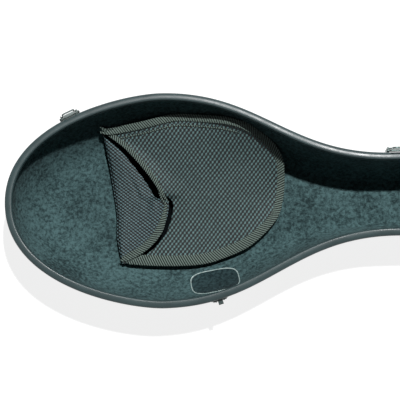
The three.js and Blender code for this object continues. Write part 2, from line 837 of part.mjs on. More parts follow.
// Strap loops: low bridges of strip under the base for the carrying straps.
loop_places.forEach(([x, y], i) => {
  const reach = loop_width / 2;
  const inner = reach - loop_rise * 1.6;
  const strip = shapeOf([
    [-reach, 0],
    [-inner, 0],
    [-inner + loop_rise * 0.5, loop_rise - loop_thickness],
    [inner - loop_rise * 0.5, loop_rise - loop_thickness],
    [inner, 0],
    [reach, 0],
    [reach, loop_thickness],
    [inner + loop_thickness, loop_thickness],
    [inner - loop_rise * 0.2, loop_rise],
    [-inner + loop_rise * 0.2, loop_rise],
    [-inner - loop_thickness, loop_thickness],
    [-reach, loop_thickness],
  ]);
  const geometry = new THREE.ExtrudeGeometry(strip, { depth: loop_strap, bevelEnabled: false });
  geometry.translate(0, 0, -loop_strap / 2);
  geometry.rotateX(-Math.PI / 2);
  const loop = node(`strap_loop_${i + 1}`, geometry, dark_metal, base);
  loop.position.set(x, y, -base_depth - clearance);
});

// Pads of the base: soft bolsters that lie in the corner between floor and wall.
function bolster(first, last) {
  const depth = base_depth - wall - lining_gap - lining_thickness - clearance;
  const inset = lining_inner + clearance;
  const steps = last - first;
  const turns = [pad_high_turn, (pad_high_turn + pad_low_turn) / 2, pad_low_turn];
  const sections = [];
  for (let i = first; i <= last; i += 1) {
    const index = (i + outline.length) % outline.length;
    const along = (i - first) / steps;
    const swell = THREE.MathUtils.lerp(pad_swell_share, 1, Math.sin(Math.PI * along) ** pad_swell_power);
    const back = turns.map((turn) => bowl(turn, depth));
    const low = back[back.length - 1];
    const high = back[0];
    const front = pad_front_shares.map(([proud, rise]) => ({
      draw: THREE.MathUtils.lerp(low.draw, high.draw, Math.floor(rise)) + pad_draw_share * proud,
      z: THREE.MathUtils.lerp(low.z, high.z, rise),
    }));
    const loop = [...back, ...front].map((level) => ringPoint(index, inset, level.draw, level.z));
    const middle = loop.reduce((sum, p) => sum.add(p), vec(0, 0, 0)).divideScalar(loop.length);
    sections.push(loop.map((p) => p.lerp(middle, 1 - swell)));
  }
  return loft(sections);
}
const [pad_from, pad_to] = body_pad_ring;
node('body_pad_1', bolster(pad_from, pad_to), pad_cloth, base);
node('body_pad_2', bolster(-pad_to, -pad_from), pad_cloth, base);
node('end_pad', bolster(...end_pad_ring), pad_cloth, base);

// Neck cradle: a block across the neck with a round notch for the neck of the instrument.
const base_floor = base_depth - wall - lining_gap - lining_thickness - clearance;
const cradle_inset = lining_inner + cradle_bevel + cradle_gap;
const cradle_low_half = (neck_half - cradle_inset) * (1 - draw_share);
const cradle_high_half = (neck_half - cradle_inset) * (1 - bowl(pad_high_turn, base_floor).draw);
const cradle_middle = -base_floor * cradle_middle_share;
const cradle = new THREE.Shape();
cradle.moveTo(-cradle_low_half, -base_floor + cradle_bevel);
cradle.lineTo(cradle_low_half, -base_floor + cradle_bevel);
cradle.lineTo(cradle_high_half * cradle_waist_share, cradle_middle);
cradle.lineTo(cradle_high_half, -cradle_top);
cradle.lineTo(cradle_notch / 2, -cradle_top);
cradle.absarc(0, -cradle_top - cradle_notch / 2, cradle_notch / 2, 0, Math.PI, true);
cradle.lineTo(-cradle_notch / 2, -cradle_top);
cradle.lineTo(-cradle_high_half, -cradle_top);
cradle.lineTo(-cradle_high_half * cradle_waist_share, cradle_middle);
const cradle_block = new THREE.ExtrudeGeometry(cradle, {
  depth: cradle_length,
  bevelSize: cradle_bevel,
  bevelThickness: cradle_bevel,
  bevelSegments: 1,
  curveSegments: 8,
});
cradle_block.applyMatrix4(new THREE.Matrix4().makeBasis(vec(0, 1, 0), vec(0, 0, 1), vec(1, 0, 0)));
node('neck_cradle', moved(cradle_block, cradle_station - cradle_length / 2, 0, 0), pad_cloth, base);
const strap_z = -cradle_top + cradle_bevel + clearance;
const strap_crown = strap_thickness * 2;
const strap = new THREE.Shape();
strap.moveTo(-strap_half_length, strap_z);
strap.quadraticCurveTo(0, strap_z + strap_crown, strap_half_length, strap_z);
strap.lineTo(strap_half_length, strap_z + strap_thickness);
strap.quadraticCurveTo(0, strap_z + strap_crown + strap_thickness, -strap_half_length, strap_z + strap_thickness);
const strap_band = new THREE.ExtrudeGeometry(strap, { depth: strap_width, bevelEnabled: false, curveSegments: 8 });
strap_band.applyMatrix4(new THREE.Matrix4().makeBasis(vec(0, 1, 0), vec(0, 0, 1), vec(1, 0, 0)));
node('neck_strap', moved(strap_band, cradle_station - strap_width / 2, 0, 0), binding, base);

// Mesh pocket

function pocketPoint([along, across]) {
  return new THREE.Vector2(pocket_station + along * pocket_length, pocket_offset + across * pocket_width);
}

// Height of the lining's face under a point, found with a ray that looks straight down.
const lining_face = new THREE.Mesh(lid_lining.geometry);
const lid_floor = wall + lining_gap + lining_thickness - lid_depth;
function liningHeight(point) {
  const ray = new THREE.Raycaster(vec(point.x, point.y), vec(0, 0, -1));
  const hits = ray.intersectObject(lining_face);
  return hits.length > 0 ? hits[0].point.z : lid_floor;
}

const edge_curve = new THREE.SplineCurve(pocket_edge_shares.map(pocketPoint));
const fold_curve = new THREE.SplineCurve([
  pocketPoint(pocket_edge_shares[pocket_edge_shares.length - 1]),
  ...fold_shares.map(pocketPoint),
  pocketPoint(pocket_edge_shares[0]),
]);
const mouth_curve = new THREE.SplineCurve(mouth_shares.map(pocketPoint));
const pocket_loop = [...edge_curve.getPoints(outline_samples), ...fold_curve.getPoints(fold_samples).slice(1, -1)];
const pocket_centre = pocketPoint([0, 0]);

// The taut cloth hangs like a soap film from its edge. The edge heights are split into waves round the
// centre, and each wave dies away towards the centre with a power equal to its number.
const edge_reach = [];
const edge_levels = [];
for (let i = 0; i < film_samples; i += 1) {
  const angle = (i / film_samples) * Math.PI * 2;
  const direction = new THREE.Vector2(Math.cos(angle), Math.sin(angle));
  const reach = loopReach(pocket_loop, pocket_centre, direction);
  edge_reach.push(reach);
  edge_levels.push(liningHeight(pocket_centre.clone().addScaledVector(direction, reach)) + pocket_lift);
}

function loopReach(loop, centre, direction) {
  let reach = 0;
  loop.forEach((point, i) => {
    const a = point.clone().sub(centre);
    const b = loop[(i + 1) % loop.length].clone().sub(centre);
    const side_a = a.cross(direction);
    const side_b = b.cross(direction);
    if (side_a * side_b <= 0 && side_a !== side_b) {
      const hit = a.clone().lerp(b, side_a / (side_a - side_b)).dot(direction);
      reach = Math.max(reach, hit);
    }
  });
  return reach;
}

const film = [];
for (let wave = 0; wave <= film_waves; wave += 1) {
  let cosine = 0;
  let sine = 0;
  edge_levels.forEach((level, i) => {
    const angle = (i / film_samples) * Math.PI * 2;
    cosine += level * Math.cos(wave * angle);
    sine += level * Math.sin(wave * angle);
  });
  const scale = (wave === 0 ? 1 : 2) / film_samples;
  film.push([cosine * scale, sine * scale]);
}

// Distance from the pocket's centre, as a share of the way to its edge, and the direction.
function pocketPolar(point) {
  const away = point.clone().sub(pocket_centre);
  const angle = Math.atan2(away.y, away.x);
  const place = ((angle / (Math.PI * 2) + 1) % 1) * film_samples;
  const low = Math.floor(place) % film_samples;
  const high = (low + 1) % film_samples;
  const edge = THREE.MathUtils.lerp(edge_reach[low], edge_reach[high], place - Math.floor(place));
  return { angle, radius: Math.min(away.length() / edge, 1) };
}

function filmHeight(point) {
  const { angle, radius } = pocketPolar(point);
  const level = film.reduce((sum, [cosine, sine], wave) =>
    sum + radius ** wave * (cosine * Math.cos(wave * angle) + sine * Math.sin(wave * angle)), 0);
  return Math.max(level, liningHeight(point) + pocket_lift);
}

// A sheet of cloth between two curves, at the height that a function gives.
function clothSheet(low_curve, high_curve, steps, rows, height) {
  const under = [];
  for (let row = 0; row <= rows; row += 1) {
    const line = [];
    for (let i = 0; i <= steps; i += 1) {
      const point = low_curve(i / steps).clone().lerp(high_curve(i / steps), row / rows);
      line.push(vec(point.x, point.y, height(point)));
    }
    under.push(line);
  }
  const over = under.map((line) => line.map((p) => vec(p.x, p.y, p.z + cloth_thickness)));
  return sheetBetween(under, over);
}

const mouth_inset = tape_width / 2;
const trimmed = (share, trim = end_trim_share) => THREE.MathUtils.lerp(trim, 1 - trim, share);
const towardsCentre = (point, share) => pocket_centre.clone().lerp(point, share);
const beside = (shift) => (share) =>
  mouth_curve.getPoint(trimmed(share, flap_trim_share)).add(new THREE.Vector2(shift, 0));

// Front of the pocket, between its mouth and its outer edge.
const front_edge_share = tape_inner_share - clearance / mouth_inset / front_rows;
const front_high = (share) => towardsCentre(edge_curve.getPoint(trimmed(share)), front_edge_share);
const front = clothSheet(beside(mouth_inset), front_high, cloth_steps, front_rows, filmHeight);
node('pocket_front', front, mesh_cloth, lid);

// Flap that folds over from the left line and reaches the mouth.
const flap_low = (share) => fold_curve.getPoint(1 - trimmed(share, flap_trim_share));
const flap = clothSheet(flap_low, beside(-mouth_inset), cloth_steps, flap_rows, filmHeight);
node('pocket_flap', flap, mesh_cloth, lid);

// Back of the pocket, which lies on the lining.
const back_low = (share) => towardsCentre(fold_curve.getPoint(1 - trimmed(share)), back_edge_share);
const back_high = (share) => towardsCentre(edge_curve.getPoint(trimmed(share)), back_edge_share);
const backHeight = (point) => liningHeight(point) + clearance;
node('pocket_back', clothSheet(back_low, back_high, cloth_steps, back_rows, backHeight), plush, lid);

// Tapes: flat bands that bind the edges of the cloth.
function tape(low_curve, high_curve, shares) {
  const under = shares.map((share) => [low_curve(share), high_curve(share)]
    .map((point) => vec(point.x, point.y, filmHeight(point))));
  const over = under.map((line) => line.map((p) => vec(p.x, p.y, p.z + tape_thickness)));
  return sheetBetween(under, over);
}
const tape_shares = Array.from({ length: cloth_steps + 1 }, (_, i) => i / cloth_steps);
const edge_shares = [0, ...tape_shares.map((share) => trimmed(share)), 1];
const tape_outer = (share) => edge_curve.getPoint(share);
const tape_inner = (share) => towardsCentre(edge_curve.getPoint(share), tape_inner_share);
node('pocket_tape', tape(tape_outer, tape_inner, edge_shares), binding, lid);

// Gusset: an upright band of cloth all round, which stands on the lining and carries the edge of the pocket.
const gusset_line = [
  ...edge_shares.map((share) => edge_curve.getPoint(share)),
  ...tape_shares.map((share) => fold_curve.getPoint(trimmed(share, flap_trim_share))),
];
function gussetRing(share, inset, height) {
  return gusset_line.map((point) => {
    const place = towardsCentre(point, share);
    place.sub(place.clone().sub(pocket_centre).setLength(inset));
    return vec(place.x, place.y, height(place));
  });
}
const gussetTop = (point) => filmHeight(point) - clearance * 4;
const gusset = loft([
  gussetRing(gusset_share, 0, backHeight),
  gussetRing(gusset_share, 0, gussetTop),
  gussetRing(gusset_share, cloth_thickness, gussetTop),
  gussetRing(gusset_share, cloth_thickness, backHeight),
], true);
node('pocket_gusset', gusset, plush, lid);

const mouth_low = beside(clearance);
const mouth_high = beside(mouth_inset - clearance * 3);
node('mouth_tape', tape(mouth_low, mouth_high, tape_shares), binding, lid);
const flap_tape_low = beside(clearance * 3 - mouth_inset);
const flap_tape_high = beside(-clearance);
node('flap_tape', tape(flap_tape_low, flap_tape_high, tape_shares), binding, lid);

// The origin lies on the floor under the middle of the open case.
whole.updateMatrixWorld(true);
const extent = new THREE.Box3().setFromObject(whole, true);
whole.position.set(-(extent.min.x + extent.max.x) / 2, -(extent.min.y + extent.max.y) / 2, -extent.min.z);

export default whole;
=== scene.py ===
# %% [markdown]
# # A hard cello case, lying open
#
# The case is two moulded bowls of plastic, joined by a hinge at the scroll end. The lid holds a mesh pocket
# on a plush lining, and the base holds pads, a carrying handle and feet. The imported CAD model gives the
# frame: sizes, places and moving bodies. Here each soft or curved piece gets a finer surface, and every
# piece gets its material.

# %% Load the frame
import math
import bmesh
import bpy
import numpy as np
from mathutils import Matrix, Vector
from mathutils.bvhtree import BVHTree


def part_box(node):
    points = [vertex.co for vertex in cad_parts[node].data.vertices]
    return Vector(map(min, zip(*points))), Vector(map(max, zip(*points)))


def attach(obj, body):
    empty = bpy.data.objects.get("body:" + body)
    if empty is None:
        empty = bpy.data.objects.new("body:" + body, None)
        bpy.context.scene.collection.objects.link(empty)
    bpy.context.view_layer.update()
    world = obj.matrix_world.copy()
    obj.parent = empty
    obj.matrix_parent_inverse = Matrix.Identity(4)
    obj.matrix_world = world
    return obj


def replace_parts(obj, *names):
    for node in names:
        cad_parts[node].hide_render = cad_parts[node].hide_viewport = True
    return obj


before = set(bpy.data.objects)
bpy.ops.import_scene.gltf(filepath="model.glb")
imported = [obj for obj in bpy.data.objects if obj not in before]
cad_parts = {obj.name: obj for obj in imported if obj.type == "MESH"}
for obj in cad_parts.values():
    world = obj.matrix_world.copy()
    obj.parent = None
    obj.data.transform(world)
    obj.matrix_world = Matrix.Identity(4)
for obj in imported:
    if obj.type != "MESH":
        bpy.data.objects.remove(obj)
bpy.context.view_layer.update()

# %% [markdown]
# ## The camera
#
# The photograph looks down into the lid from almost straight above, tipped a little towards the near long
# side. A long lens from three metres away keeps the outline nearly flat, as in the picture. The camera comes
# first, because all later looks are set for its view.

# %% Camera
RIM_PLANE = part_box("lid_rim")[1].z
LID_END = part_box("lid_rim")[0].x
MIDDLE_Y = (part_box("lid_rim")[0].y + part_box("lid_rim")[1].y) / 2
CAMERA_TILT = math.radians(8.0)
CAMERA_ROLL = 0.0252
CAMERA_DISTANCE = 3.2
CAMERA_LENS = 118.31
SENSOR_WIDTH = 36.0
CAMERA_TARGET = np.array([LID_END + 0.4766, MIDDLE_Y - 0.0044, RIM_PLANE])

forward = np.array([0.0, math.sin(CAMERA_TILT), -math.cos(CAMERA_TILT)])
level_up = np.array([0.0, math.cos(CAMERA_TILT), math.sin(CAMERA_TILT)])
across = np.array([1.0, 0.0, 0.0])
camera_up = math.sin(CAMERA_ROLL) * across + math.cos(CAMERA_ROLL) * level_up
camera_right = math.cos(CAMERA_ROLL) * across - math.sin(CAMERA_ROLL) * level_up

camera = bpy.data.objects.new("camera", bpy.data.cameras.new("camera"))
bpy.context.scene.collection.objects.link(camera)
camera.data.lens = CAMERA_LENS
camera.data.sensor_width = SENSOR_WIDTH
turn = np.eye(4)
turn[:3, 0], turn[:3, 1], turn[:3, 2] = camera_right, camera_up, -forward
turn[:3, 3] = CAMERA_TARGET - CAMERA_DISTANCE * forward
camera.matrix_world = Matrix(turn.tolist())
bpy.context.scene.camera = camera
print("camera at", turn[:3, 3].round(3))

# %% [markdown]
# ## Floor, world and lamps
#
# The picture is cut out on pure white. A pale floor is seen as white by the camera and by reflections through
# Light Path, and it keeps a soft shadow. One fairly hard lamp stands beyond the far side, about 25 degrees
# from upright, because the photograph shows a crisp, deep shadow under the far wall. A weak even sky fills
# the rest, so that shaded plush stays nearly black.

# %% World
scene = bpy.context.scene
scene.view_settings.view_transform = "Standard"
SKY_STRENGTH = 0.02
world = bpy.data.worlds.new("sky")
scene.world = world
world.use_nodes = True
sky = world.node_tree
sky.nodes.clear()


def white_for_sight(tree, dim, bright):
    """Joins two shaders: bright where the ray is a camera, glossy or transmission ray, dim otherwise."""
    path = tree.nodes.new("ShaderNodeLightPath")
    seen = path.outputs["Is Camera Ray"]
    for kind in ("Is Glossy Ray", "Is Transmission Ray"):
        larger = tree.nodes.new("ShaderNodeMath")
        larger.operation = "MAXIMUM"
        tree.links.new(seen, larger.inputs[0])
        tree.links.new(path.outputs[kind], larger.inputs[1])
        seen = larger.outputs[0]
    mix = tree.nodes.new("ShaderNodeMixShader")
    for socket, source in zip(mix.inputs, (seen, dim.outputs[0], bright.outputs[0])):
        tree.links.new(source, socket)
    return mix.outputs[0]


def plain_shader(tree, kind, colour, strength=None):
    """A Background, Diffuse or Emission node with its colour, and its strength where it has one."""
    node = tree.nodes.new(kind)
    node.inputs["Color"].default_value = (*colour, 1.0)
    if strength is not None:
        node.inputs["Strength"].default_value = strength
    return node


dim_sky = plain_shader(sky, "ShaderNodeBackground", (0.93, 0.97, 1.0), SKY_STRENGTH)
white_sky = plain_shader(sky, "ShaderNodeBackground", (1.0, 1.0, 1.0), 1.0)
sky_out = sky.nodes.new("ShaderNodeOutputWorld")
sky.links.new(white_for_sight(sky, dim_sky, white_sky), sky_out.inputs["Surface"])
print("sky strength", SKY_STRENGTH)

# %% Floor
FLOOR_HALF = 9.0
FLOOR_GLOW = 0.84
floor_mesh = bpy.data.meshes.new("floor")
floor_mesh.from_pydata([(FLOOR_HALF * x, FLOOR_HALF * y, 0) for x, y in ((-1, -1), (1, -1), (1, 1), (-1, 1))],
                       [], [(0, 1, 2, 3)])
floor = bpy.data.objects.new("floor", floor_mesh)
scene.collection.objects.link(floor)
floor_finish = bpy.data.materials.new("floor_finish")
floor_finish.use_nodes = True
tree = floor_finish.node_tree
tree.nodes.clear()
plain = plain_shader(tree, "ShaderNodeBsdfDiffuse", (0.72, 0.73, 0.73))
lit = plain_shader(tree, "ShaderNodeBsdfDiffuse", (0.34, 0.34, 0.34))
glow = plain_shader(tree, "ShaderNodeEmission", (1.0, 1.0, 1.0), FLOOR_GLOW)
seen = tree.nodes.new("ShaderNodeAddShader")
tree.links.new(lit.outputs[0], seen.inputs[0])
tree.links.new(glow.outputs[0], seen.inputs[1])
floor_out = tree.nodes.new("ShaderNodeOutputMaterial")
tree.links.new(white_for_sight(tree, plain, seen), floor_out.inputs["Surface"])
floor_mesh.materials.append(floor_finish)
print("floor", FLOOR_HALF * 2, "m square")

# %% Lamps
def sun(name, direction, strength, spread):
    """A sun lamp that shines along a direction."""
    lamp = bpy.data.lights.new(name, "SUN")
    lamp.energy = strength
    lamp.angle = math.radians(spread)
    thing = bpy.data.objects.new(name, lamp)
    scene.collection.objects.link(thing)
    thing.rotation_mode = "QUATERNION"
    thing.rotation_quaternion = Vector(direction).to_track_quat("-Z", "Y")
    return thing


KEY_LEAN = math.tan(math.radians(23.5))
key = sun("key", (-0.19, -KEY_LEAN, -1.0), 3.2, 2.5)
fill = sun("fill", (0.25, 0.9, -1.6), 0.03, 60.0)
print("lamps", key.data.energy, fill.data.energy)

# %% [markdown]
# ## The outline of a half
#
# Seen from above, each half is the same curve: a round end, a shoulder that draws in like the body of the
# instrument, and a straight neck with rounded corners. Two Bezier curves, a line and an arc give one side,
# and its mirror image gives the other. The curve is then walked in equal steps, so that later surfaces have
# even faces.

# %% Outline
CASE_LENGTH = 1.340
HALF_WIDTH = 0.265
BOUT_STATION = 0.384
NECK_STATION = 0.948
NECK_HALF = 0.1025
SCROLL_CORNER = 0.062
COLUMNS = 800


def bezier(points, steps):
    """Four points weighted by (1-t)^3, 3t(1-t)^2, 3t^2(1-t) and t^3."""
    t = np.linspace(0.0, 1.0, steps)[:, None]
    p = np.array(points)
    return (1 - t) ** 3 * p[0] + 3 * t * (1 - t) ** 2 * p[1] + 3 * t ** 2 * (1 - t) * p[2] + t ** 3 * p[3]


WAIST = NECK_STATION - BOUT_STATION
ROUND = [(0, 0), (0, HALF_WIDTH * 0.78), (BOUT_STATION * 0.78, HALF_WIDTH), (BOUT_STATION, HALF_WIDTH)]
SHOULDER = [(BOUT_STATION, HALF_WIDTH), (BOUT_STATION + WAIST * 0.44, HALF_WIDTH),
            (NECK_STATION - WAIST * 0.447, NECK_HALF), (NECK_STATION, NECK_HALF)]
arc = np.linspace(math.pi / 2, 0, 60)[:, None]
scroll_arc = np.hstack([CASE_LENGTH - SCROLL_CORNER + SCROLL_CORNER * np.cos(arc),
                        NECK_HALF - SCROLL_CORNER + SCROLL_CORNER * np.sin(arc)])
side_curve = np.vstack([bezier(ROUND, 200), bezier(SHOULDER, 200)[1:], scroll_arc])


def walk(curve, count, closed=True):
    """Points at equal distances along a polyline, found on its running length."""
    steps = np.r_[0.0, np.cumsum(np.linalg.norm(np.diff(curve, axis=0), axis=1))]
    at = np.linspace(0.0, steps[-1], count + 1)[:-1] if closed else np.linspace(0.0, steps[-1], count)
    return np.stack([np.interp(at, steps, curve[:, k]) for k in range(curve.shape[1])], axis=1)


half_walk = walk(np.vstack([side_curve, [[CASE_LENGTH, 0.0]]]), COLUMNS // 2 + 1, closed=False)
outline = np.vstack([half_walk, half_walk[::-1][1:-1] * [1, -1]])
tangent = np.roll(outline, -1, 0) - np.roll(outline, 1, 0)
tangent /= np.linalg.norm(tangent, axis=1)[:, None]
inward = np.stack([tangent[:, 1], -tangent[:, 0]], axis=1)
spine = np.stack([np.clip(outline[:, 0], HALF_WIDTH, CASE_LENGTH - NECK_HALF), np.zeros(COLUMNS)], axis=1)
rim_length = np.linalg.norm(np.roll(outline, -1, 0) - outline, axis=1).sum()
print("outline", outline.shape, "rim length", round(rim_length, 3), "m")

# %% [markdown]
# ## Rings and bowls
#
# Every large surface is made of rings: the outline moved in by an inset, then drawn towards the spine of the
# case. The bowl of a shell turns from an upright wall at the rim to a flat floor, so its draw and depth
# follow a cosine and a sine raised to a power slightly above one.

# %% Rings
WALL = 0.004
DRAW = 0.42
BOWL_POWER = 1.18
RIM_HEIGHT = 0.014
LID_DEPTH = 0.150
BASE_DEPTH = 0.138
CLEARANCE = 0.0003


def ring(inset, draw, z):
    """The outline plus its inward normal times the inset, then a share of the way to the spine."""
    flat = outline + inward * inset
    flat = flat + (spine - flat) * draw
    return np.column_stack([flat, np.full(COLUMNS, z)])


def bowl(turn, depth):
    """Draw is 0.42 times one less a powered cosine, and depth grows with a powered sine."""
    angle = np.radians(turn)
    cosine = np.maximum(np.cos(angle), 0.0)
    return DRAW * (1 - cosine ** BOWL_POWER), -RIM_HEIGHT - (depth - RIM_HEIGHT) * np.sin(angle) ** BOWL_POWER


def bowl_rows(inset, depth, top, bowl_count, floor_count):
    """Rings from the top edge down the bowl and across the floor to the spine."""
    rows = [ring(inset, 0.0, top)]
    for turn in np.linspace(0.0, 90.0, bowl_count):
        draw, z = bowl(turn, depth)
        rows.append(ring(inset, draw, z))
    for draw in np.linspace(DRAW, 1.0, floor_count + 1)[1:]:
        rows.append(ring(inset, draw, -depth))
    return np.array(rows)


def bowl_height(flat, inset, depth):
    """Height of a bowl's face at flat places: the draw there is one less its share of the reach, and the
    bowl's formula is turned round to give the sine."""
    s, y = flat[..., 0], flat[..., 1]
    edge = outline + inward * inset
    upper = edge[: COLUMNS // 2 + 1]
    order = np.argsort(upper[:, 0])
    across_reach = np.interp(s, upper[order, 0], upper[order, 1])
    start = edge - [HALF_WIDTH, 0]
    angles = np.arctan2(np.abs(start[:, 1]), start[:, 0])
    lengths = np.linalg.norm(start, axis=1)
    left = start[:, 0] <= 0
    rank = np.argsort(angles[left])
    polar = np.interp(np.arctan2(np.abs(y), s - HALF_WIDTH), angles[left][rank], lengths[left][rank])
    distance = np.where(s < HALF_WIDTH, np.linalg.norm(flat - [HALF_WIDTH, 0], axis=-1), np.abs(y))
    draw = 1 - distance / np.where(s < HALF_WIDTH, polar, across_reach)
    cosine = np.clip(1 - draw / DRAW, 0.0, 1.0) ** (1 / BOWL_POWER)
    sine = np.sqrt(np.clip(1 - cosine ** 2, 0.0, 1.0))
    return -RIM_HEIGHT - (depth - RIM_HEIGHT) * sine ** BOWL_POWER


print("bowl floor", bowl(90.0, LID_DEPTH))

# %% [markdown]
# ## From arrays to a mesh
#
# A surface is a grid of points with rows and columns. One helper turns the grid into quads with whole-array
# indexing, closes it round its columns or rows where asked, merges the points that meet at a pole, and turns
# all faces outwards, because every surface here is closed. Others move points of a half into the open case.

# %% Mesh helpers
def grid_faces(rows, columns, wrap_rows, wrap_columns):
    """Corner numbers of each quad between neighbouring rows and columns."""
    r = np.arange(rows if wrap_rows else rows - 1)
    c = np.arange(columns if wrap_columns else columns - 1)
    r, c = np.meshgrid(r, c, indexing="ij")
    r2, c2 = (r + 1) % rows, (c + 1) % columns
    corners = [r * columns + c, r * columns + c2, r2 * columns + c2, r2 * columns + c]
    return np.stack(corners, -1).reshape(-1, 4)


def surface(name, points, body, finish, wrap_rows=False, wrap_columns=True, weld=False, uv=None):
    """Makes a mesh object from a grid of points. A negative volume means that the faces point inwards."""
    rows, columns = points.shape[:2]
    faces = grid_faces(rows, columns, wrap_rows, wrap_columns)
    flat = points.reshape(-1, 3)
    a, b, c, d = (flat[faces[:, k]] for k in range(4))
    if (a * np.cross(b, c)).sum() + (a * np.cross(c, d)).sum() < 0:
        faces = faces[:, ::-1]
    mesh = bpy.data.meshes.new(name)
    mesh.vertices.add(len(flat))
    mesh.vertices.foreach_set("co", flat.astype(np.float32).ravel())
    mesh.loops.add(faces.size)
    mesh.loops.foreach_set("vertex_index", faces.astype(np.int32).ravel())
    mesh.polygons.add(len(faces))
    mesh.polygons.foreach_set("loop_start", np.arange(len(faces), dtype=np.int32) * 4)
    mesh.update(calc_edges=True)
    if uv is not None:
        layer = mesh.uv_layers.new(name="cloth")
        layer.data.foreach_set("uv", uv.reshape(-1, 2)[faces.ravel()].astype(np.float32).ravel())
    mesh.polygons.foreach_set("use_smooth", np.full(len(faces), True))
    if weld:
        work = bmesh.new()
        work.from_mesh(mesh)
        bmesh.ops.remove_doubles(work, verts=work.verts, dist=1e-5)
        bmesh.ops.dissolve_degenerate(work, edges=work.edges, dist=1e-6)
        work.to_mesh(mesh)
        work.free()
    mesh.validate()
    thing = bpy.data.objects.new(name, mesh)
    scene.collection.objects.link(thing)
    mesh.materials.append(finish)
    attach(thing, body)
    print(name, len(mesh.polygons), "faces")
    return thing


def in_lid(points):
    """A place in a half, to the lid: stations run from the round end towards the hinge."""
    return points + [LID_END, MIDDLE_Y, RIM_PLANE]


def in_base(points):
    """The base is the same half turned round by half a turn."""
    return points * [-1, -1, 1] + [-LID_END, MIDDLE_Y, RIM_PLANE]


def stadium(count, width, height, power=2.6):
    """A rounded closed section: powered cosine across and powered sine up."""
    a = np.linspace(0.0, 2 * math.pi, count, endpoint=False)
    c, s = np.cos(a), np.sin(a)
    return np.stack([np.sign(c) * np.abs(c) ** (2 / power) * width / 2,
                     np.sign(s) * np.abs(s) ** (2 / power) * height / 2], axis=1)


print("helpers ready")

# %% [markdown]
# ## Finishes
#
# Each finish starts from a Principled shader and a few helpers that add noise, bump and ramps. Patterns read
# Object coordinates, because each piece keeps its place in its mesh, or the piece's own UV map where the
# pattern has to follow a tape.

# %% Finish helpers
class Finish:
    """A material with a Principled shader. Its methods add the nodes of a pattern."""

    def __init__(self, name, roughness, metallic=0.0, specular=0.5):
        self.material = bpy.data.materials.new(name)
        self.material.use_nodes = True
        self.tree = self.material.node_tree
        self.shader = self.tree.nodes["Principled BSDF"]
        self.give("Roughness", roughness)
        self.give("Metallic", metallic)
        self.give("Specular IOR Level", specular)
        self.where = self.node("ShaderNodeTexCoord").outputs["Object"]

    def feed(self, socket, value):
        """Joins a socket to another one, or gives it a value."""
        if isinstance(value, bpy.types.NodeSocket):
            self.tree.links.new(value, socket)
        else:
            socket.default_value = value

    def give(self, name, value):
        """Feeds an input of the Principled shader."""
        self.feed(self.shader.inputs[name], value)

    def node(self, kind, inputs={}, **settings):
        """A new node with its settings, and with its inputs fed by name or number."""
        made = self.tree.nodes.new(kind)
        for name, value in settings.items():
            setattr(made, name, value)
        for key, value in inputs.items():
            self.feed(made.inputs[key], value)
        return made

    def noise(self, scale, detail=2.0, rough=0.5, where=None, output="Fac"):
        """Noise texture on the object's own place, or on another one."""
        texture = self.node("ShaderNodeTexNoise", {"Scale": scale, "Detail": detail, "Roughness": rough,
                                                   "Vector": self.where if where is None else where})
        return texture.outputs[output]

    def ramp(self, value, low, dark, high, light):
        """Colour ramp from a dark colour at a low value to a light one at a high value."""
        made = self.node("ShaderNodeValToRGB", {"Fac": value})
        for element, place, colour in zip(made.color_ramp.elements, (low, high), (dark, light)):
            element.position = place
            element.color = colour
        return made.outputs["Color"]

    def bump(self, height, distance, strength):
        """Adds a bump from a height, on top of an earlier bump where there is one."""
        inputs = {"Distance": distance, "Strength": strength, "Height": height}
        if self.shader.inputs["Normal"].is_linked:
            inputs["Normal"] = self.shader.inputs["Normal"].links[0].from_socket
        self.give("Normal", self.node("ShaderNodeBump", inputs).outputs[0])

    def calc(self, operation, first, second=0.0):
        """One Math node on sockets or values."""
        return self.node("ShaderNodeMath", {0: first, 1: second}, operation=operation).outputs[0]

    def blend(self, first, first_share, second, second_share):
        """A sum of two values, each times its share."""
        return self.calc("ADD", self.calc("MULTIPLY", first, first_share),
                         self.calc("MULTIPLY", second, second_share))

    def wave(self, where, along, across):
        """Cosine of a place times a direction, in radians for each metre."""
        dot = self.node("ShaderNodeVectorMath", {0: where, 1: (along, across, 0.0)}, operation="DOT_PRODUCT")
        return self.calc("COSINE", dot.outputs["Value"])


def srgb(red, green, blue):
    """A screen colour from 0 to 255, as linear light."""
    v = np.array([red, green, blue]) / 255
    linear = np.where(v <= 0.04045, v / 12.92, ((v + 0.055) / 1.055) ** 2.4)
    return (*linear.tolist(), 1.0)


def grey(value):
    """A value as a colour, for a ramp that drives the roughness."""
    return (value, value, value, 1.0)


print("finish helpers ready")

# %% [markdown]
# ### Plush
#
# The lining is a short-nap plush: grey with a green-blue cast, slightly pebbled. Large and medium noise vary
# the colour at random. The medium noise also raises the pile bump, so the raised pile is painted lighter as
# painted light on the pebbling. Fine noise makes the fibres, and a little sheen lifts it at the edges.

# %% Plush
def plush_finish(name, dark, light, pebble=0.0007):
    """Two scales of noise for the colour, and two bumps: the pile, then the fibres."""
    finish = Finish(name, 0.92, specular=0.05)
    blotch = finish.noise(9.0, 3.0, 0.6)
    pile = finish.noise(130.0, 3.0, 0.7)
    fibre = finish.noise(620.0, 2.0, 0.6)
    # Random blotches and pile noise set the colour. The pile noise also makes the bump, so the raised pile is
    # painted lighter: painted light.
    finish.give("Base Color", finish.ramp(finish.blend(blotch, 0.3, pile, 0.7), 0.40, dark, 0.61, light))
    finish.give("Sheen Weight", 0.03)
    finish.bump(pile, pebble, 0.8)
    finish.bump(fibre, 0.0002, 0.5)
    return finish.material


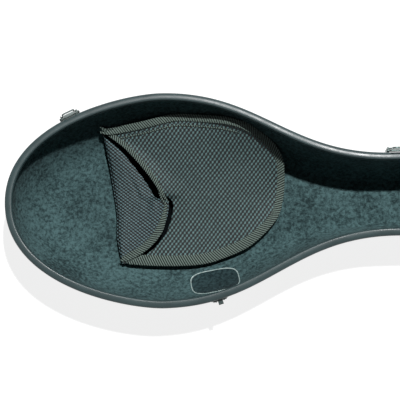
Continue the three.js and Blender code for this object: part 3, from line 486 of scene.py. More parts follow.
lining_plush = plush_finish("lining_plush", srgb(42, 58, 60), srgb(84, 112, 114), 0.0016)
base_plush = plush_finish("base_plush", srgb(42, 59, 61), srgb(76, 102, 104), 0.0013)
panel_plush = plush_finish("panel_plush", srgb(28, 41, 44), srgb(56, 77, 80), 0.0004)
pad_plush = plush_finish("pad_plush", srgb(36, 50, 54), srgb(56, 76, 80))
# Near-black cloth for the pocket's back and gusset: painted shade, where the pocket's inside is unlit.
painted_shade_cloth = plush_finish("painted_shade_cloth", srgb(3, 5, 7), srgb(12, 17, 19), 0.0003)
print("plush ready")

# %% [markdown]
# ### Moulded plastic
#
# The shells are thick moulded plastic with a fine pebbled grain and a clouded colour, a little shinier where
# it is rubbed. The rim is the same plastic extruded smooth, so it shows long soft highlights.

# %% Plastics
def moulded_finish(name, dark, light, roughness, grain_scale, grain_height, specular):
    """Clouded colour, rubbed roughness and a fine grain."""
    finish = Finish(name, roughness, specular=specular)
    finish.give("Base Color", finish.ramp(finish.noise(6.0, 4.0, 0.6), 0.3, dark, 0.7, light))
    rub = finish.noise(24.0, 3.0, 0.6)
    finish.give("Roughness", finish.ramp(rub, 0.3, grey(roughness - 0.07), 0.75, grey(roughness + 0.1)))
    finish.bump(finish.noise(grain_scale), grain_height, 0.7)
    return finish.material


shell_plastic = moulded_finish("shell_plastic", srgb(40, 55, 58), srgb(52, 70, 73), 0.42, 900.0, 0.00022, 0.3)
rim_plastic = moulded_finish("rim_plastic", srgb(40, 56, 58), srgb(52, 72, 74), 0.36, 260.0, 0.00004, 0.42)
print("plastics ready")

# %% [markdown]
# ### Metal and rubber
#
# The levers and bails are plated steel with faint brushing. Plates, catches and hinge leaves are dark plated
# steel. Feet, grip and seal are matt rubber with a dusty mottle.

# %% Metals and rubber
def metal_finish(name, dark, light, roughness):
    """Noise stretched along the piece for the brushing, and a second one for the wear."""
    finish = Finish(name, roughness, metallic=1.0)
    stretched = finish.node("ShaderNodeMapping", {"Vector": finish.where, "Scale": (1.0, 9.0, 9.0)})
    brushed = finish.noise(60.0, 4.0, 0.7, stretched.outputs[0])
    finish.give("Base Color", finish.ramp(brushed, 0.25, dark, 0.75, light))
    wear = finish.noise(90.0, 3.0, 0.6)
    finish.give("Roughness", finish.ramp(wear, 0.3, grey(roughness - 0.06), 0.8, grey(roughness + 0.14)))
    finish.bump(brushed, 0.00005, 0.4)
    return finish.material


def rubber_finish(name, dark, light):
    """Matt, with a mottle of dust and a fine grain."""
    finish = Finish(name, 0.72, specular=0.35)
    finish.give("Base Color", finish.ramp(finish.noise(70.0, 4.0, 0.65), 0.3, dark, 0.75, light))
    finish.bump(finish.noise(700.0), 0.00012, 0.6)
    return finish.material


bright_steel = metal_finish("bright_steel", srgb(58, 70, 69), srgb(122, 138, 135), 0.24)
dark_metal = metal_finish("dark_metal", srgb(30, 37, 37), srgb(58, 67, 66), 0.36)
black_rubber = rubber_finish("black_rubber", srgb(24, 28, 29), srgb(42, 48, 49))
print("metals and rubber ready")

# %% [markdown]
# ### Mesh cloth
#
# The pocket is an open knitted mesh. Its holes sit on a slanted lattice. Two sets of slanted waves are
# added: where their sum is high there is a hole, painted near black as painted shade of the unlit inside, and
# elsewhere there is thread, with a bump so that it stands up. The threads are painted lighter towards their
# crests, a painted highlight, mixed with random tone.

# %% Mesh cloth
def mesh_finish(name, pitch, angle, turn, thread_dark, thread_light, hole_shade):
    """Two waves at the pitch, the second one turned: holes where their sum is high, painted dark as shade,
    threads elsewhere, painted lighter at their crests as highlight.
    """
    finish = Finish(name, 0.6, specular=0.3)
    warp = finish.noise(7.0, 1.0, output="Color")
    shift = finish.node("ShaderNodeVectorMath", {0: warp, 1: (0.012, 0.012, 0.0), 2: finish.where},
                        operation="MULTIPLY_ADD")
    k = 2 * math.pi / pitch
    waves = [finish.wave(shift.outputs[0], k * math.cos(lean), k * math.sin(lean))
             for lean in (angle, angle + math.radians(turn))]
    total = finish.calc("ADD", waves[0], finish.calc("MULTIPLY", waves[1], 0.72))
    height = finish.calc("ADD", finish.calc("MULTIPLY", total, -0.29), 0.5)
    # Thread colour: lighter where the thread stands high, a painted highlight, plus random noise.
    thread_highlight = finish.blend(height, 0.5, finish.noise(260.0, 2.0, 0.6), 0.5)
    thread = finish.ramp(thread_highlight, 0.42, thread_dark, 0.74, thread_light)
    open_share = finish.ramp(height, 0.43, grey(1.0), 0.58, grey(0.0))
    colour = finish.node("ShaderNodeMix", {0: open_share, 6: thread, 7: hole_shade}, data_type="RGBA")
    finish.give("Base Color", colour.outputs[2])
    finish.bump(height, 0.0012, 0.8)
    return finish.material


# The last colour of each mesh is its hole: near black, painted shade.
front_mesh = mesh_finish("front_mesh", 0.0082, math.radians(-38.0), 76.0,
                         srgb(24, 38, 40), srgb(104, 134, 134), srgb(1, 2, 3))
flap_mesh = mesh_finish("flap_mesh", 0.0068, math.radians(50.0), 70.0,
                        srgb(24, 37, 41), srgb(98, 126, 130), srgb(1, 2, 3))
print("mesh ready")

# %% [markdown]
# ### Ribbed tape
#
# The binding is grosgrain tape with fine slanted ribs. Its colour paints the light on them: pale grey-green
# on the rib tops, a painted highlight, and nearly black between, painted shade in the grooves. The ribs are
# waves along the tape's own UV map, in metres, so that they follow every bend. The mesh carries the same
# ribs as real ridges.

# %% Tape finish
RIB_PITCH = 0.0062
RIB_SLANT = 0.55


def tape_finish(name, dark, light):
    """A wave along the tape, slanted across it, painted light on the ribs and near black between, with frayed
    threads.
    """
    finish = Finish(name, 0.75, specular=0.25)
    place = finish.node("ShaderNodeUVMap", uv_map="cloth").outputs[0]
    k = 2 * math.pi / RIB_PITCH
    wave = finish.wave(place, k, k * RIB_SLANT)
    # Rib tops painted light and grooves painted dark: painted highlight and painted shade.
    height = finish.calc("ADD", finish.calc("MULTIPLY", wave, 0.5), 0.5)
    fray = finish.noise(300.0, 3.0, 0.6, place)
    finish.give("Base Color", finish.ramp(finish.blend(height, 0.75, fray, 0.25), 0.30, dark, 0.80, light))
    finish.bump(fray, 0.0003, 0.6)
    return finish.material


# Groove colour and rib colour: painted shade and painted highlight.
ribbed_tape = tape_finish("ribbed_tape", srgb(10, 15, 15), srgb(112, 130, 122))
strap_webbing = tape_finish("strap_webbing", srgb(26, 32, 33), srgb(74, 86, 84))
print("tape ready")

# %% [markdown]
# ## The shells
#
# Each shell is one moulded bowl, four millimetres thick. Its outside is pushed out into flat seats, where the
# latches, catches, hinge and handle are riveted on. A seat is a smooth mask on the wall: inside the mask a
# point moves out to the seat's face, and round its edge the mask fades like a moulded draft.

# %% Seats
def side_place(station, side):
    """Point on the outline at a station, the direction along the rim, and the direction outwards."""
    upper = outline[: COLUMNS // 2 + 1]
    y = np.interp(station, upper[:, 0], upper[:, 1])
    step = 0.002
    slope = math.atan2(np.interp(station + step, upper[:, 0], upper[:, 1])
                       - np.interp(station - step, upper[:, 0], upper[:, 1]), 2 * step)
    along = np.array([math.cos(slope), math.sin(slope) * side])
    out = np.array([-math.sin(slope), math.cos(slope) * side])
    return np.array([station, y * side]), along * side, out


END_PLACE = (np.array([CASE_LENGTH, 0.0]), np.array([0.0, -1.0]), np.array([1.0, 0.0]))
SEAT_FADE = 0.007
SEAT_REACH = 0.09


def fade(value):
    """Smooth step from 0 to 1: 3v^2 - 2v^3."""
    v = np.clip(value, 0.0, 1.0)
    return v * v * (3 - 2 * v)
def bell(value, width):
    """Narrow bell: 1 at nothing, and about a third at the width."""
    return np.exp(-(value / width) ** 2)


def push_out(points, place, width, top, bottom, face, offset=0.0):
    """Moves wall points out to a seat's face, inside a rounded mask."""
    origin, along, out = place
    local = points[..., :2] - origin
    x = local @ along - offset
    y = local @ out
    z = points[..., 2]
    dx = np.maximum(np.abs(x) - width / 2, 0.0)
    dz = np.maximum(np.maximum(bottom - z, z - top), 0.0)
    mask = fade(1 - np.hypot(dx, dz) / SEAT_FADE) * (y > -SEAT_REACH)
    gain = np.maximum(face - y, 0.0) * mask
    moved = points.copy()
    moved[..., :2] += gain[..., None] * out
    return moved


# Width, top, bottom, and how far the face stands out from the rim's outline.
LATCH_SEAT = (0.058, -0.0143, -0.075, -0.0003)
CATCH_SEAT = (0.040, -0.0143, -0.041, -0.0003)
HINGE_SEAT = (0.100, -0.0143, -0.063, 0.0007)
HANDLE_SEAT = (0.040, -0.024, -0.064, -0.0003)
PAIR_STATIONS, SIDE_STATION = (0.162, 0.966), 0.519
HANDLE_STATION, BRACKET_PLACE = 0.400, 0.085
lid_seats = [(side_place(station, 1), LATCH_SEAT, 0.0) for station in PAIR_STATIONS]
lid_seats += [(side_place(SIDE_STATION, -1), CATCH_SEAT, 0.0), (END_PLACE, HINGE_SEAT, 0.0)]
base_seats = [(side_place(station, -1), CATCH_SEAT, 0.0) for station in PAIR_STATIONS]
base_seats += [(side_place(SIDE_STATION, 1), LATCH_SEAT, 0.0), (END_PLACE, HINGE_SEAT, 0.0)]
base_seats += [(side_place(HANDLE_STATION, -1), HANDLE_SEAT, place) for place in (-BRACKET_PLACE, BRACKET_PLACE)]
print("seats", len(lid_seats), len(base_seats))

# %% Shells
RIM_OVERHANG = 0.007
SHELL_TOP = -0.005


def shell(name, depth, seats, put, body, node):
    """Inner rings from the spine up, then outer rings down to the spine, as one closed grid."""
    outer = bowl_rows(RIM_OVERHANG, depth, SHELL_TOP, 58, 8)
    for place, (width, top, bottom, face), offset in seats:
        outer = push_out(outer, place, width, top, bottom, face, offset)
    inner = bowl_rows(RIM_OVERHANG + WALL, depth - WALL, SHELL_TOP, 16, 4)[::-1]
    piece = surface(name, put(np.concatenate([inner, outer])), body, shell_plastic, weld=True)
    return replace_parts(piece, node)


shell("moulded_lid_shell", LID_DEPTH, lid_seats, in_lid, "lid", "lid_shell")
shell("moulded_base_shell", BASE_DEPTH, base_seats, in_base, "base", "base_shell")

# %% [markdown]
# ## The rims and the seal
#
# The edge of each shell is gripped by an extruded rim, whose crown is two quarter ovals that meet near its
# inner edge. Its section is carried round the outline. The base's rim has a shallow channel with a rubber
# seal, which the lid's crown presses on.

# %% Rims
RIM_WIDTH = 0.019
RIM_PEAK = 0.72
RIM_CROWN = 0.0065
CHANNEL_DEPTH, CHANNEL_HALF = 0.0022, 0.0024


def rim_section(channel):
    """The crown rises gently from the outer edge to a peak near the inner edge, as two quarter ovals."""
    peak = RIM_PEAK * RIM_WIDTH
    a = np.linspace(0.0, math.pi / 2, 14)
    outer_part = np.stack([peak * (1 - np.cos(a) ** 0.9), np.sin(a) ** 0.9], axis=1)
    inner_part = np.stack([peak + (RIM_WIDTH - peak) * np.sin(a[1:]) ** 0.9, np.cos(a[1:]) ** 0.9], axis=1)
    crown = np.vstack([outer_part, inner_part]) * [1.0, RIM_CROWN] + [0.0, -RIM_CROWN]
    if channel:
        crown[:, 1] -= CHANNEL_DEPTH * np.exp(-((crown[:, 0] - RIM_WIDTH / 2) / CHANNEL_HALF) ** 4)
    slot_out, slot_in = RIM_OVERHANG - CLEARANCE, RIM_OVERHANG + WALL + CLEARANCE
    slot_top, foot = SHELL_TOP + CLEARANCE, -RIM_HEIGHT + CLEARANCE
    below = [(RIM_WIDTH, foot + 0.001), (RIM_WIDTH - 0.001, foot), (slot_in, foot), (slot_in, slot_top),
             (slot_out, slot_top), (slot_out, foot), (0.001, foot), (0.0, foot + 0.001)]
    return np.vstack([crown, below])


def rim(name, channel, put, body, node):
    """The section, carried round the outline as one ring for each of its points."""
    points = np.array([ring(inset, 0.0, z) for inset, z in rim_section(channel)])
    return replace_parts(surface(name, put(points), body, rim_plastic, wrap_rows=True), node)


rim("round_lid_rim", False, in_lid, "lid", "lid_rim")
rim("round_base_rim", True, in_base, "base", "base_rim")

SEAL_WIDTH, SEAL_HEIGHT, SEAL_SINK = 0.0038, 0.0026, 0.0015
seal_points = np.array([ring(RIM_WIDTH / 2 + aside, 0.0, -SEAL_SINK + up)
                        for aside, up in stadium(12, SEAL_WIDTH, SEAL_HEIGHT)])
surface("rim_seal", in_base(seal_points), "base", black_rubber, wrap_rows=True)

# %% [markdown]
# ## The linings
#
# A plush-covered board lies inside each shell and is tucked under the rim. It follows the same bowl. Shallow
# long creases run along the neck, where the plush was pulled over the tight curve. The lid's lining has an
# oval recess low on the near side, over the rivets of the side catch. Its mask is a powered oval: inside it
# the face sinks by four millimetres.

# %% Linings
BOARD_GAP = 0.001
BOARD = 0.005
LINING_OUTER = RIM_OVERHANG + WALL + BOARD_GAP
LINING_INNER = LINING_OUTER + BOARD
LINING_TOP = -RIM_HEIGHT - CLEARANCE
LINING_STEP = 0.007


def creases(points, lines):
    """Lowers the face along long lines: each crease is a narrow bell across and a broad bell along."""
    s, y = points[..., 0], points[..., 1]
    drop = np.zeros_like(s)
    for start, end, y0, y1, width, depth in lines:
        along = np.clip((s - start) / (end - start), 0.0, 1.0)
        middle = y0 + (y1 - y0) * along
        inside = fade((s - start) / 0.08) * fade((end - s) / 0.08)
        drop += depth * inside * bell(y - middle, width)
    return drop


WINDOW = {"station": 0.509, "middle": -0.195, "length": 0.120, "width": 0.060, "lean": 0.16}
WINDOW_SINK = 0.0045
WINDOW_POWER, WINDOW_FADE = 3.4, 0.22


def window_loop(count, grow=0.0):
    """A rounded oval, leaned to follow the rim, in station and y."""
    oval = stadium(count, WINDOW["length"] + grow, WINDOW["width"] + grow, WINDOW_POWER)
    c, s = math.cos(WINDOW["lean"]), math.sin(WINDOW["lean"])
    return np.stack([WINDOW["station"] + oval[:, 0] * c - oval[:, 1] * s,
                     WINDOW["middle"] + oval[:, 0] * s + oval[:, 1] * c], axis=1)


def window_sink(points):
    """Depth of the recess: full inside the oval, fading to nothing at its edge."""
    c, s = math.cos(WINDOW["lean"]), math.sin(WINDOW["lean"])
    x, y = points[..., 0] - WINDOW["station"], points[..., 1] - WINDOW["middle"]
    along = np.abs(x * c + y * s) * 2 / WINDOW["length"]
    across = np.abs(y * c - x * s) * 2 / WINDOW["width"]
    away = (along ** WINDOW_POWER + across ** WINDOW_POWER) ** (1 / WINDOW_POWER)
    return WINDOW_SINK * fade((1.0 - away) / WINDOW_FADE)


NECK_CREASES = [(0.78, 1.30, -0.066, -0.064, 0.004, 0.005), (0.62, 1.1, 0.006, 0.016, 0.012, -0.0012),
                (0.66, 1.2, -0.035, -0.03, 0.010, -0.001), (0.6, 0.9, -0.05, -0.012, 0.009, 0.001)]


def lining(name, depth, lines, put, body, finish, node, recess=False):
    """The board's back from the spine up, then its plush face down to the spine, as one closed grid."""
    outer = bowl_rows(LINING_OUTER, depth - WALL - BOARD_GAP, LINING_TOP, 16, 4)[::-1]
    inner = bowl_rows(LINING_INNER, depth - WALL - LINING_STEP, LINING_TOP, 46, 26)
    inner[..., 2] -= creases(inner, lines) * (inner[..., 2] < -depth * 0.8)
    if recess:
        inner[..., 2] -= window_sink(inner)
    piece = surface(name, put(np.concatenate([outer, inner])), body, finish, weld=True)
    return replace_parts(piece, node)


lid_lining = lining("plush_lid_lining", LID_DEPTH, NECK_CREASES, in_lid, "lid", lining_plush,
                    "lid_lining", recess=True)
lining("plush_base_lining", BASE_DEPTH, NECK_CREASES[1:], in_base, "base", base_plush, "base_lining")

# %% [markdown]
# The recess has a thin welt along its edge, painted pale all round as a painted highlight of the lit edge,
# and a smoother skin inside, through which two rivets show.
# Heights come from rays that look straight down on the lining's mesh.

# %% Window edge
lining_tree = BVHTree.FromObject(lid_lining, bpy.context.evaluated_depsgraph_get())


def plush_height(flat):
    """Height of the lining's face in the half, found with rays."""
    world = np.column_stack([flat, np.zeros(len(flat))]) + [LID_END, MIDDLE_Y, RIM_PLANE]
    hits = [lining_tree.ray_cast(Vector(place), Vector((0.0, 0.0, -1.0)))[0] for place in world.tolist()]
    return np.array([hit.z - RIM_PLANE for hit in hits])


WINDOW_MIDDLE = np.array([WINDOW["station"], WINDOW["middle"]])
RIVETS = ((0.501, -0.213), (0.523, -0.206))
RIVET_RISE, RIVET_RADIUS = 0.0030, 0.0050
PANEL_THICKNESS, PANEL_LIFT = 0.0012, 0.0004
BEAD, BEAD_LIFT = 0.0024, 0.0006
LOOP_COUNT = 96
loop_height = plush_height(window_loop(LOOP_COUNT))
bead_rows = [np.column_stack([window_loop(LOOP_COUNT, 2 * out_by), loop_height + up_by + BEAD_LIFT])
             for out_by, up_by in stadium(8, BEAD, BEAD, 2.0)]
panel_flat = np.array([WINDOW_MIDDLE + (window_loop(LOOP_COUNT) - WINDOW_MIDDLE) * scale
                       for scale in np.linspace(0, 0.97, 30)])
panel_height = plush_height(panel_flat.reshape(-1, 2)).reshape(panel_flat.shape[:2]) + PANEL_LIFT
for station, y in RIVETS:
    away = np.hypot(panel_flat[..., 0] - station, panel_flat[..., 1] - y)
    panel_height += RIVET_RISE * np.exp(-(away / RIVET_RADIUS) ** 4)
panel_top = np.dstack([panel_flat, panel_height])
panel_low = panel_top[::-1] - [0.0, 0.0, PANEL_THICKNESS]
# The welt's pale colour is a painted highlight of the recess edge in the light.
board = Finish("welt_painted_highlight", 0.6)
board.give("Base Color", board.ramp(board.noise(120.0), 0.3, srgb(140, 162, 160), 0.7, srgb(196, 214, 212)))
surface("window_edge", in_lid(np.array(bead_rows)), "lid", board.material, wrap_rows=True)
surface("window_panel", in_lid(np.concatenate([panel_top, panel_low])), "lid", panel_plush, weld=True)

# %% [markdown]
# ## The pocket
#
# The pocket is cut like a leaf. Its outer edge is bound with tape and follows the lining at a small height,
# carried on a gusset of near-black cloth, which paints the shade under the raised edge. From the left a flap
# folds over, and the mouth lies between the flap and the front. The taut cloth hangs like a soap film from its
# edge: the edge heights are split into waves round the middle, and each wave dies away inwards with a power
# equal to its number.

# %% Pocket lines
POCKET_MIDDLE = np.array([NECK_STATION * 0.48734, 2 * HALF_WIDTH * 0.06038])
POCKET_SIZE = np.array([NECK_STATION * 0.47679, 2 * HALF_WIDTH * 0.70189])
POCKET_LIFT = 0.018
CLOTH = 0.0016
EDGE_SHARES = [(-0.515, 0.43), (-0.29, 0.468), (-0.095, 0.512), (0.082, 0.492), (0.22, 0.46), (0.318, 0.414),
               (0.43, 0.322), (0.487, 0.228), (0.502, 0.13), (0.493, -0.04), (0.449, -0.198), (0.305, -0.366),
               (0.135, -0.455), (0.024, -0.486), (-0.115, -0.492), (-0.27, -0.483), (-0.411, -0.465)]
FOLD_SHARES = [(-0.411, -0.465), (-0.434, -0.3), (-0.434, -0.137), (-0.46, 0.105), (-0.493, 0.355),
               (-0.515, 0.43)]
MOUTH_SHARES = [(-0.515, 0.43), (-0.383, 0.309), (-0.246, 0.113), (-0.175, -0.04), (-0.15, -0.1),
                (-0.19, -0.262), (-0.281, -0.382), (-0.411, -0.465)]


def cubic(p0, p1, p2, p3, u):
    """The span from p1 to p2 as a cubic, with the slopes of the neighbouring points."""
    v0, v1 = (p2 - p0) / 2, (p3 - p1) / 2
    return (2 * p1 - 2 * p2 + v0 + v1) * u ** 3 + (-3 * p1 + 3 * p2 - 2 * v0 - v1) * u ** 2 + v0 * u + p1


def spline(shares, count):
    """A smooth open curve through points of the pocket, given as shares of its size."""
    p = POCKET_MIDDLE + np.array(shares) * POCKET_SIZE
    t = np.linspace(0.0, len(p) - 1, count)
    i = np.minimum(t.astype(int), len(p) - 2)
    return cubic(*(p[np.clip(i + k, 0, len(p) - 1)] for k in (-1, 0, 1, 2)), (t - i)[:, None])


EVEN = 161
edge_line = walk(spline(EDGE_SHARES, 400), 400, closed=False)
fold_line = walk(spline(FOLD_SHARES, 200), 120, closed=False)
mouth_line = walk(spline(MOUTH_SHARES, 300), EVEN, closed=False)


def lining_face(flat):
    """Height of the lid lining's plush."""
    return bowl_height(flat, LINING_INNER, LID_DEPTH - WALL - LINING_STEP)


SAMPLES = 96
border = np.vstack([edge_line, fold_line[1:-1]])
border_away = border - POCKET_MIDDLE
border_angle = np.arctan2(border_away[:, 1], border_away[:, 0])
rank = np.argsort(border_angle)


def border_reach(angle):
    """Distance from the pocket's middle to its border, in a direction."""
    return np.interp(angle, border_angle[rank], np.linalg.norm(border_away, axis=1)[rank], period=2 * math.pi)


sample_angle = np.arange(SAMPLES) / SAMPLES * 2 * math.pi - math.pi
sample_direction = np.stack([np.cos(sample_angle), np.sin(sample_angle)], 1)
sample_place = POCKET_MIDDLE + border_reach(sample_angle)[:, None] * sample_direction
sample_level = lining_face(sample_place) + POCKET_LIFT
waves = np.arange(6)
cosines, sines = ((sample_level * part(np.outer(waves, sample_angle))).sum(1) / SAMPLES
                  * np.where(waves == 0, 1, 2) for part in (np.cos, np.sin))
FILM_BLEND = 0.003


def film(flat):
    """Sum of the edge's waves, each times the share of the radius to the power of its number, and never lower
    than the lift above the lining."""
    away = flat - POCKET_MIDDLE
    angle = np.arctan2(away[..., 1], away[..., 0])
    share = np.minimum(np.linalg.norm(away, axis=-1) / border_reach(angle), 1.0)[..., None]
    level = (share ** waves * (cosines * np.cos(waves * angle[..., None])
                               + sines * np.sin(waves * angle[..., None]))).sum(-1)
    ground = lining_face(flat) + POCKET_LIFT
    gap = level - ground
    return ground + 0.5 * (gap + np.sqrt(gap ** 2 + FILM_BLEND ** 2)) - 0.0005


print("pocket film from", sample_level.min().round(4), "to", sample_level.max().round(4))


# %% Sheet helpers
def between(low, high, rows):
    """Points on straight lines from one curve to another, row by row."""
    t = np.linspace(0.0, 1.0, rows)[:, None, None]
    return low[None] * (1 - t) + high[None] * t


def about_middle(line, scale):
    """A line drawn towards the pocket's middle."""
    return POCKET_MIDDLE + (line - POCKET_MIDDLE) * scale


def thick(grid, depth):
    """Closes a sheet into a thin solid: the upper grid, then the lower one back, joined round all edges."""
    lower = grid - [0.0, 0.0, depth]
    middle = (grid + lower) / 2
    wide = np.concatenate([grid, lower[:, ::-1]], axis=1)
    ends = np.concatenate([middle, middle[:, ::-1]], axis=1)
    return np.concatenate([ends[:1], wide, ends[-1:]])


def cloth_piece(name, grid, finish, node):
    """A closed thin sheet in the lid, in place of its CAD node."""
    piece = surface(name, in_lid(thick(grid, CLOTH)), "lid", finish, weld=True)
    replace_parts(piece, node)


# %% Front, flap and back
MOUTH_TAPE = 0.013
FLAP_TAPE = 0.017
TIP_SHARE = 0.53
FRONT_ROWS, FLAP_ROWS, BACK_ROWS = 90, 44, 50
FRONT_SCALE, BACK_SCALE, BACK_LIFT = 0.965, 0.95, 0.0023
along_mouth = np.linspace(0.0, 1.0, EVEN)
mouth_normal = np.gradient(mouth_line, axis=0)
mouth_normal = np.stack([-mouth_normal[:, 1], mouth_normal[:, 0]], axis=1)
mouth_normal /= np.linalg.norm(mouth_normal, axis=1)[:, None]
ends = np.sin(math.pi * along_mouth) ** 0.5
over = fade((along_mouth - TIP_SHARE + 0.05) / 0.08)

edge_even = walk(edge_line, EVEN, closed=False)
front_inner = mouth_line + mouth_normal * (0.002 + 0.0125 * over * ends ** 0.7)[:, None]
front_flat = between(front_inner, about_middle(edge_even, FRONT_SCALE), FRONT_ROWS)
row_share = np.linspace(0.0, 1.0, FRONT_ROWS)[:, None]
mouth_bell = bell(row_share, 0.09)
mouth_rise = 0.007 * mouth_bell * (1 - over) * ends
mouth_rise = mouth_rise - 0.004 * mouth_bell * over * ends
pull = 0.0010 * np.sin(np.linspace(0, 34, EVEN))[None] * bell(1 - row_share, 0.12)
front_grid = np.dstack([front_flat, film(front_flat) + mouth_rise + pull])
cloth_piece("pocket_front_mesh", front_grid, front_mesh, "pocket_front")

fold_even = walk(fold_line[::-1], EVEN, closed=False)
gap_width = (0.016 * ends * (1 - over) - 0.004 * over * ends)[:, None]
flap_flat = between(fold_even, mouth_line - mouth_normal * gap_width, FLAP_ROWS)
flap_share = np.linspace(0.0, 1.0, FLAP_ROWS)[:, None]
flap_rise = ((0.009 * over - 0.009 * (1 - over)) * ends)[None] * flap_share ** 3
flap_rise = flap_rise - 0.004 * bell(flap_share, 0.10)
flap_creases = 0.0022 * bell(flap_share - 0.72, 0.05) * bell(along_mouth - 0.52, 0.09)[None]
flap_creases = flap_creases - 0.0018 * bell(flap_share - 0.60, 0.05) * bell(along_mouth - 0.46, 0.12)[None]
flap_grid = np.dstack([flap_flat, film(flap_flat) + flap_rise + flap_creases])
cloth_piece("pocket_flap_mesh", flap_grid, flap_mesh, "pocket_flap")

# The back is near-black cloth: painted shade of the unlit inside, seen through the mouth gap.
back_flat = between(*(about_middle(line, BACK_SCALE) for line in (fold_even, edge_even)), BACK_ROWS)
back_grid = np.dstack([back_flat, lining_face(back_flat) + BACK_LIFT])
cloth_piece("pocket_back_cloth", back_grid, painted_shade_cloth, "pocket_back")

# %% [markdown]
# ### The tapes and the gusset
#
# A tape is a flat band with a slight crown, folded over the cloth's edge. Its section is a rounded oval that
# runs along the edge line, and fine ridges stand on it at the rib pitch, slanted across the band. The gusset
# is an upright band of near-black cloth under the outer tape: painted shade under the raised pocket edge.

# %% Tapes
TAPE_STEP = 0.00125
RIB_HEIGHT = 0.00028
AROUND = 22
OUTER_THICK, SEAM_THICK, MOUTH_THICK = 0.0042, 0.0030, 0.0040
SEAM_WIDTH, SEAM_PLACE = 0.0035, 0.027


def path_frame(path):
    """Running length, and the sideways direction to the left, of a flat path."""
    step = np.gradient(path, axis=0)
    side = np.stack([-step[:, 1], step[:, 0]], axis=1)
    side /= np.linalg.norm(side, axis=1)[:, None]
    length = np.r_[0.0, np.cumsum(np.linalg.norm(np.diff(path, axis=0), axis=1))]
    return length, side


def fine_count(path):
    """Number of sections along a tape."""
    return int(np.linalg.norm(np.diff(path, axis=0), axis=1).sum() / TAPE_STEP)


def tape(name, path, height, width, thickness, taper=0.02):
    """Section: a powered oval with its centre on the path. A point goes sideways by its width and up by its
    height plus a rib on the upper side: a cosine of the running length and the slant."""
    length, side = path_frame(path)
    section = stadium(AROUND, 1.0, 1.0, 3.0)
    end_fade = np.clip(np.minimum(length, length[-1] - length) / taper, 0.15, 1.0) ** 0.5
    wide = (width * end_fade)[:, None] * section[None, :, 0]
    rib = RIB_HEIGHT * np.cos(2 * math.pi * (length[:, None] + RIB_SLANT * wide) / RIB_PITCH)
    tall = thickness * section[None, :, 1] + rib * (section[None, :, 1] > 0)
    grid = np.dstack([path[:, None] + side[:, None] * wide[..., None], height[:, None] + tall])
    centre = grid.mean(axis=1, keepdims=True).repeat(AROUND, axis=1)
    grid = np.concatenate([centre[:1], grid, centre[-1:]])
    uv = np.stack([np.broadcast_to(np.r_[length[0], length, length[-1]][:, None], grid.shape[:2]),
                   np.vstack([wide[:1], wide, wide[-1:]])], axis=-1)
    return surface(name, in_lid(grid), "lid", ribbed_tape, weld=True, uv=uv)


edge_fine = walk(edge_line, fine_count(edge_line), closed=False)
edge_share = np.linspace(0.0, 1.0, len(edge_fine))
edge_width = 0.0195 + 0.0075 * fade((edge_share - 0.55) / 0.2)
_, edge_side = path_frame(edge_fine)
inward_side = np.sign(((POCKET_MIDDLE - edge_fine) * edge_side).sum(1).mean())
tape_middle = edge_fine + edge_side * inward_side * (edge_width / 2 - 0.003)[:, None]
outer_tape = tape("outer_tape", tape_middle, film(tape_middle) + 0.0006, edge_width, OUTER_THICK)
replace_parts(outer_tape, "pocket_tape")

seam_part = (edge_share > 0.03) & (edge_share < 0.34)
seam_path = edge_fine[seam_part] + edge_side[seam_part] * inward_side * SEAM_PLACE
tape("pocket_seam", seam_path, film(seam_path) + 0.0008, np.full(seam_part.sum(), SEAM_WIDTH), SEAM_THICK)

mouth_fine = walk(spline(MOUTH_SHARES, 500), fine_count(mouth_line), closed=False)
mouth_share = np.linspace(0.0, 1.0, len(mouth_fine))
_, mouth_side = path_frame(mouth_fine)
upper = mouth_share < TIP_SHARE + 0.03
share = mouth_share[upper]
upper_path = mouth_fine[upper] + mouth_side[upper] * MOUTH_TAPE * 0.38
upper_height = film(upper_path) + 0.0075 * np.sin(math.pi * share) ** 0.5
upper_width = MOUTH_TAPE * (1 - 0.45 * fade((share - 0.38) / 0.2))
upper_tape = tape("front_edge_tape", upper_path, upper_height, upper_width, MOUTH_THICK, taper=0.03)
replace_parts(upper_tape, "mouth_tape")

lower = mouth_share > TIP_SHARE - 0.10
share = mouth_share[lower]
lower_aside = FLAP_TAPE * 0.25 - 0.006 * fade((TIP_SHARE + 0.04 - share) / 0.14)
lower_path = mouth_fine[lower] - mouth_side[lower] * lower_aside[:, None]
lower_over = fade((share - TIP_SHARE + 0.10) / 0.12)
lower_height = film(lower_path) + (0.0125 * lower_over - 0.002) * np.sin(math.pi * share) ** 0.5
lower_width = 0.005 + (FLAP_TAPE + 0.002 - 0.005) * fade((share - TIP_SHARE) / 0.20)
flap_tape = tape("flap_edge_tape", lower_path, lower_height, lower_width, MOUTH_THICK)
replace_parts(flap_tape, "flap_tape")

# %% Gusset
border_even = walk(np.vstack([edge_line, fold_line[1:], edge_line[:1]]), 360)
standing = about_middle(border_even, 0.984)
bottom = lining_face(standing) + 0.0004
top = film(standing) - 0.0016
belly = 0.5 * (bottom + top)
gusset_rows = [np.column_stack([about_middle(border_even, scale), height])
               for scale, height in ((0.984, bottom), (0.989, belly), (0.984, top),
                                     (0.976, top), (0.981, belly), (0.976, bottom))]
# Near-black cloth again: painted shade under the pocket's raised edge.
gusset = surface("pocket_gusset_band", in_lid(np.array(gusset_rows)), "lid", painted_shade_cloth,
                 wrap_rows=True)
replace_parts(gusset, "pocket_gusset")

# %% [markdown]
# ## Pads of the base
#
# Three soft bolsters lie where the floor of the base turns up into its wall: one on each flank of the body
# and one at the round end. The section is a smooth closed curve whose back follows the bowl and whose front
# bulges inwards. It shrinks to a rounded nose at both ends and is drawn in at two stitched seams.

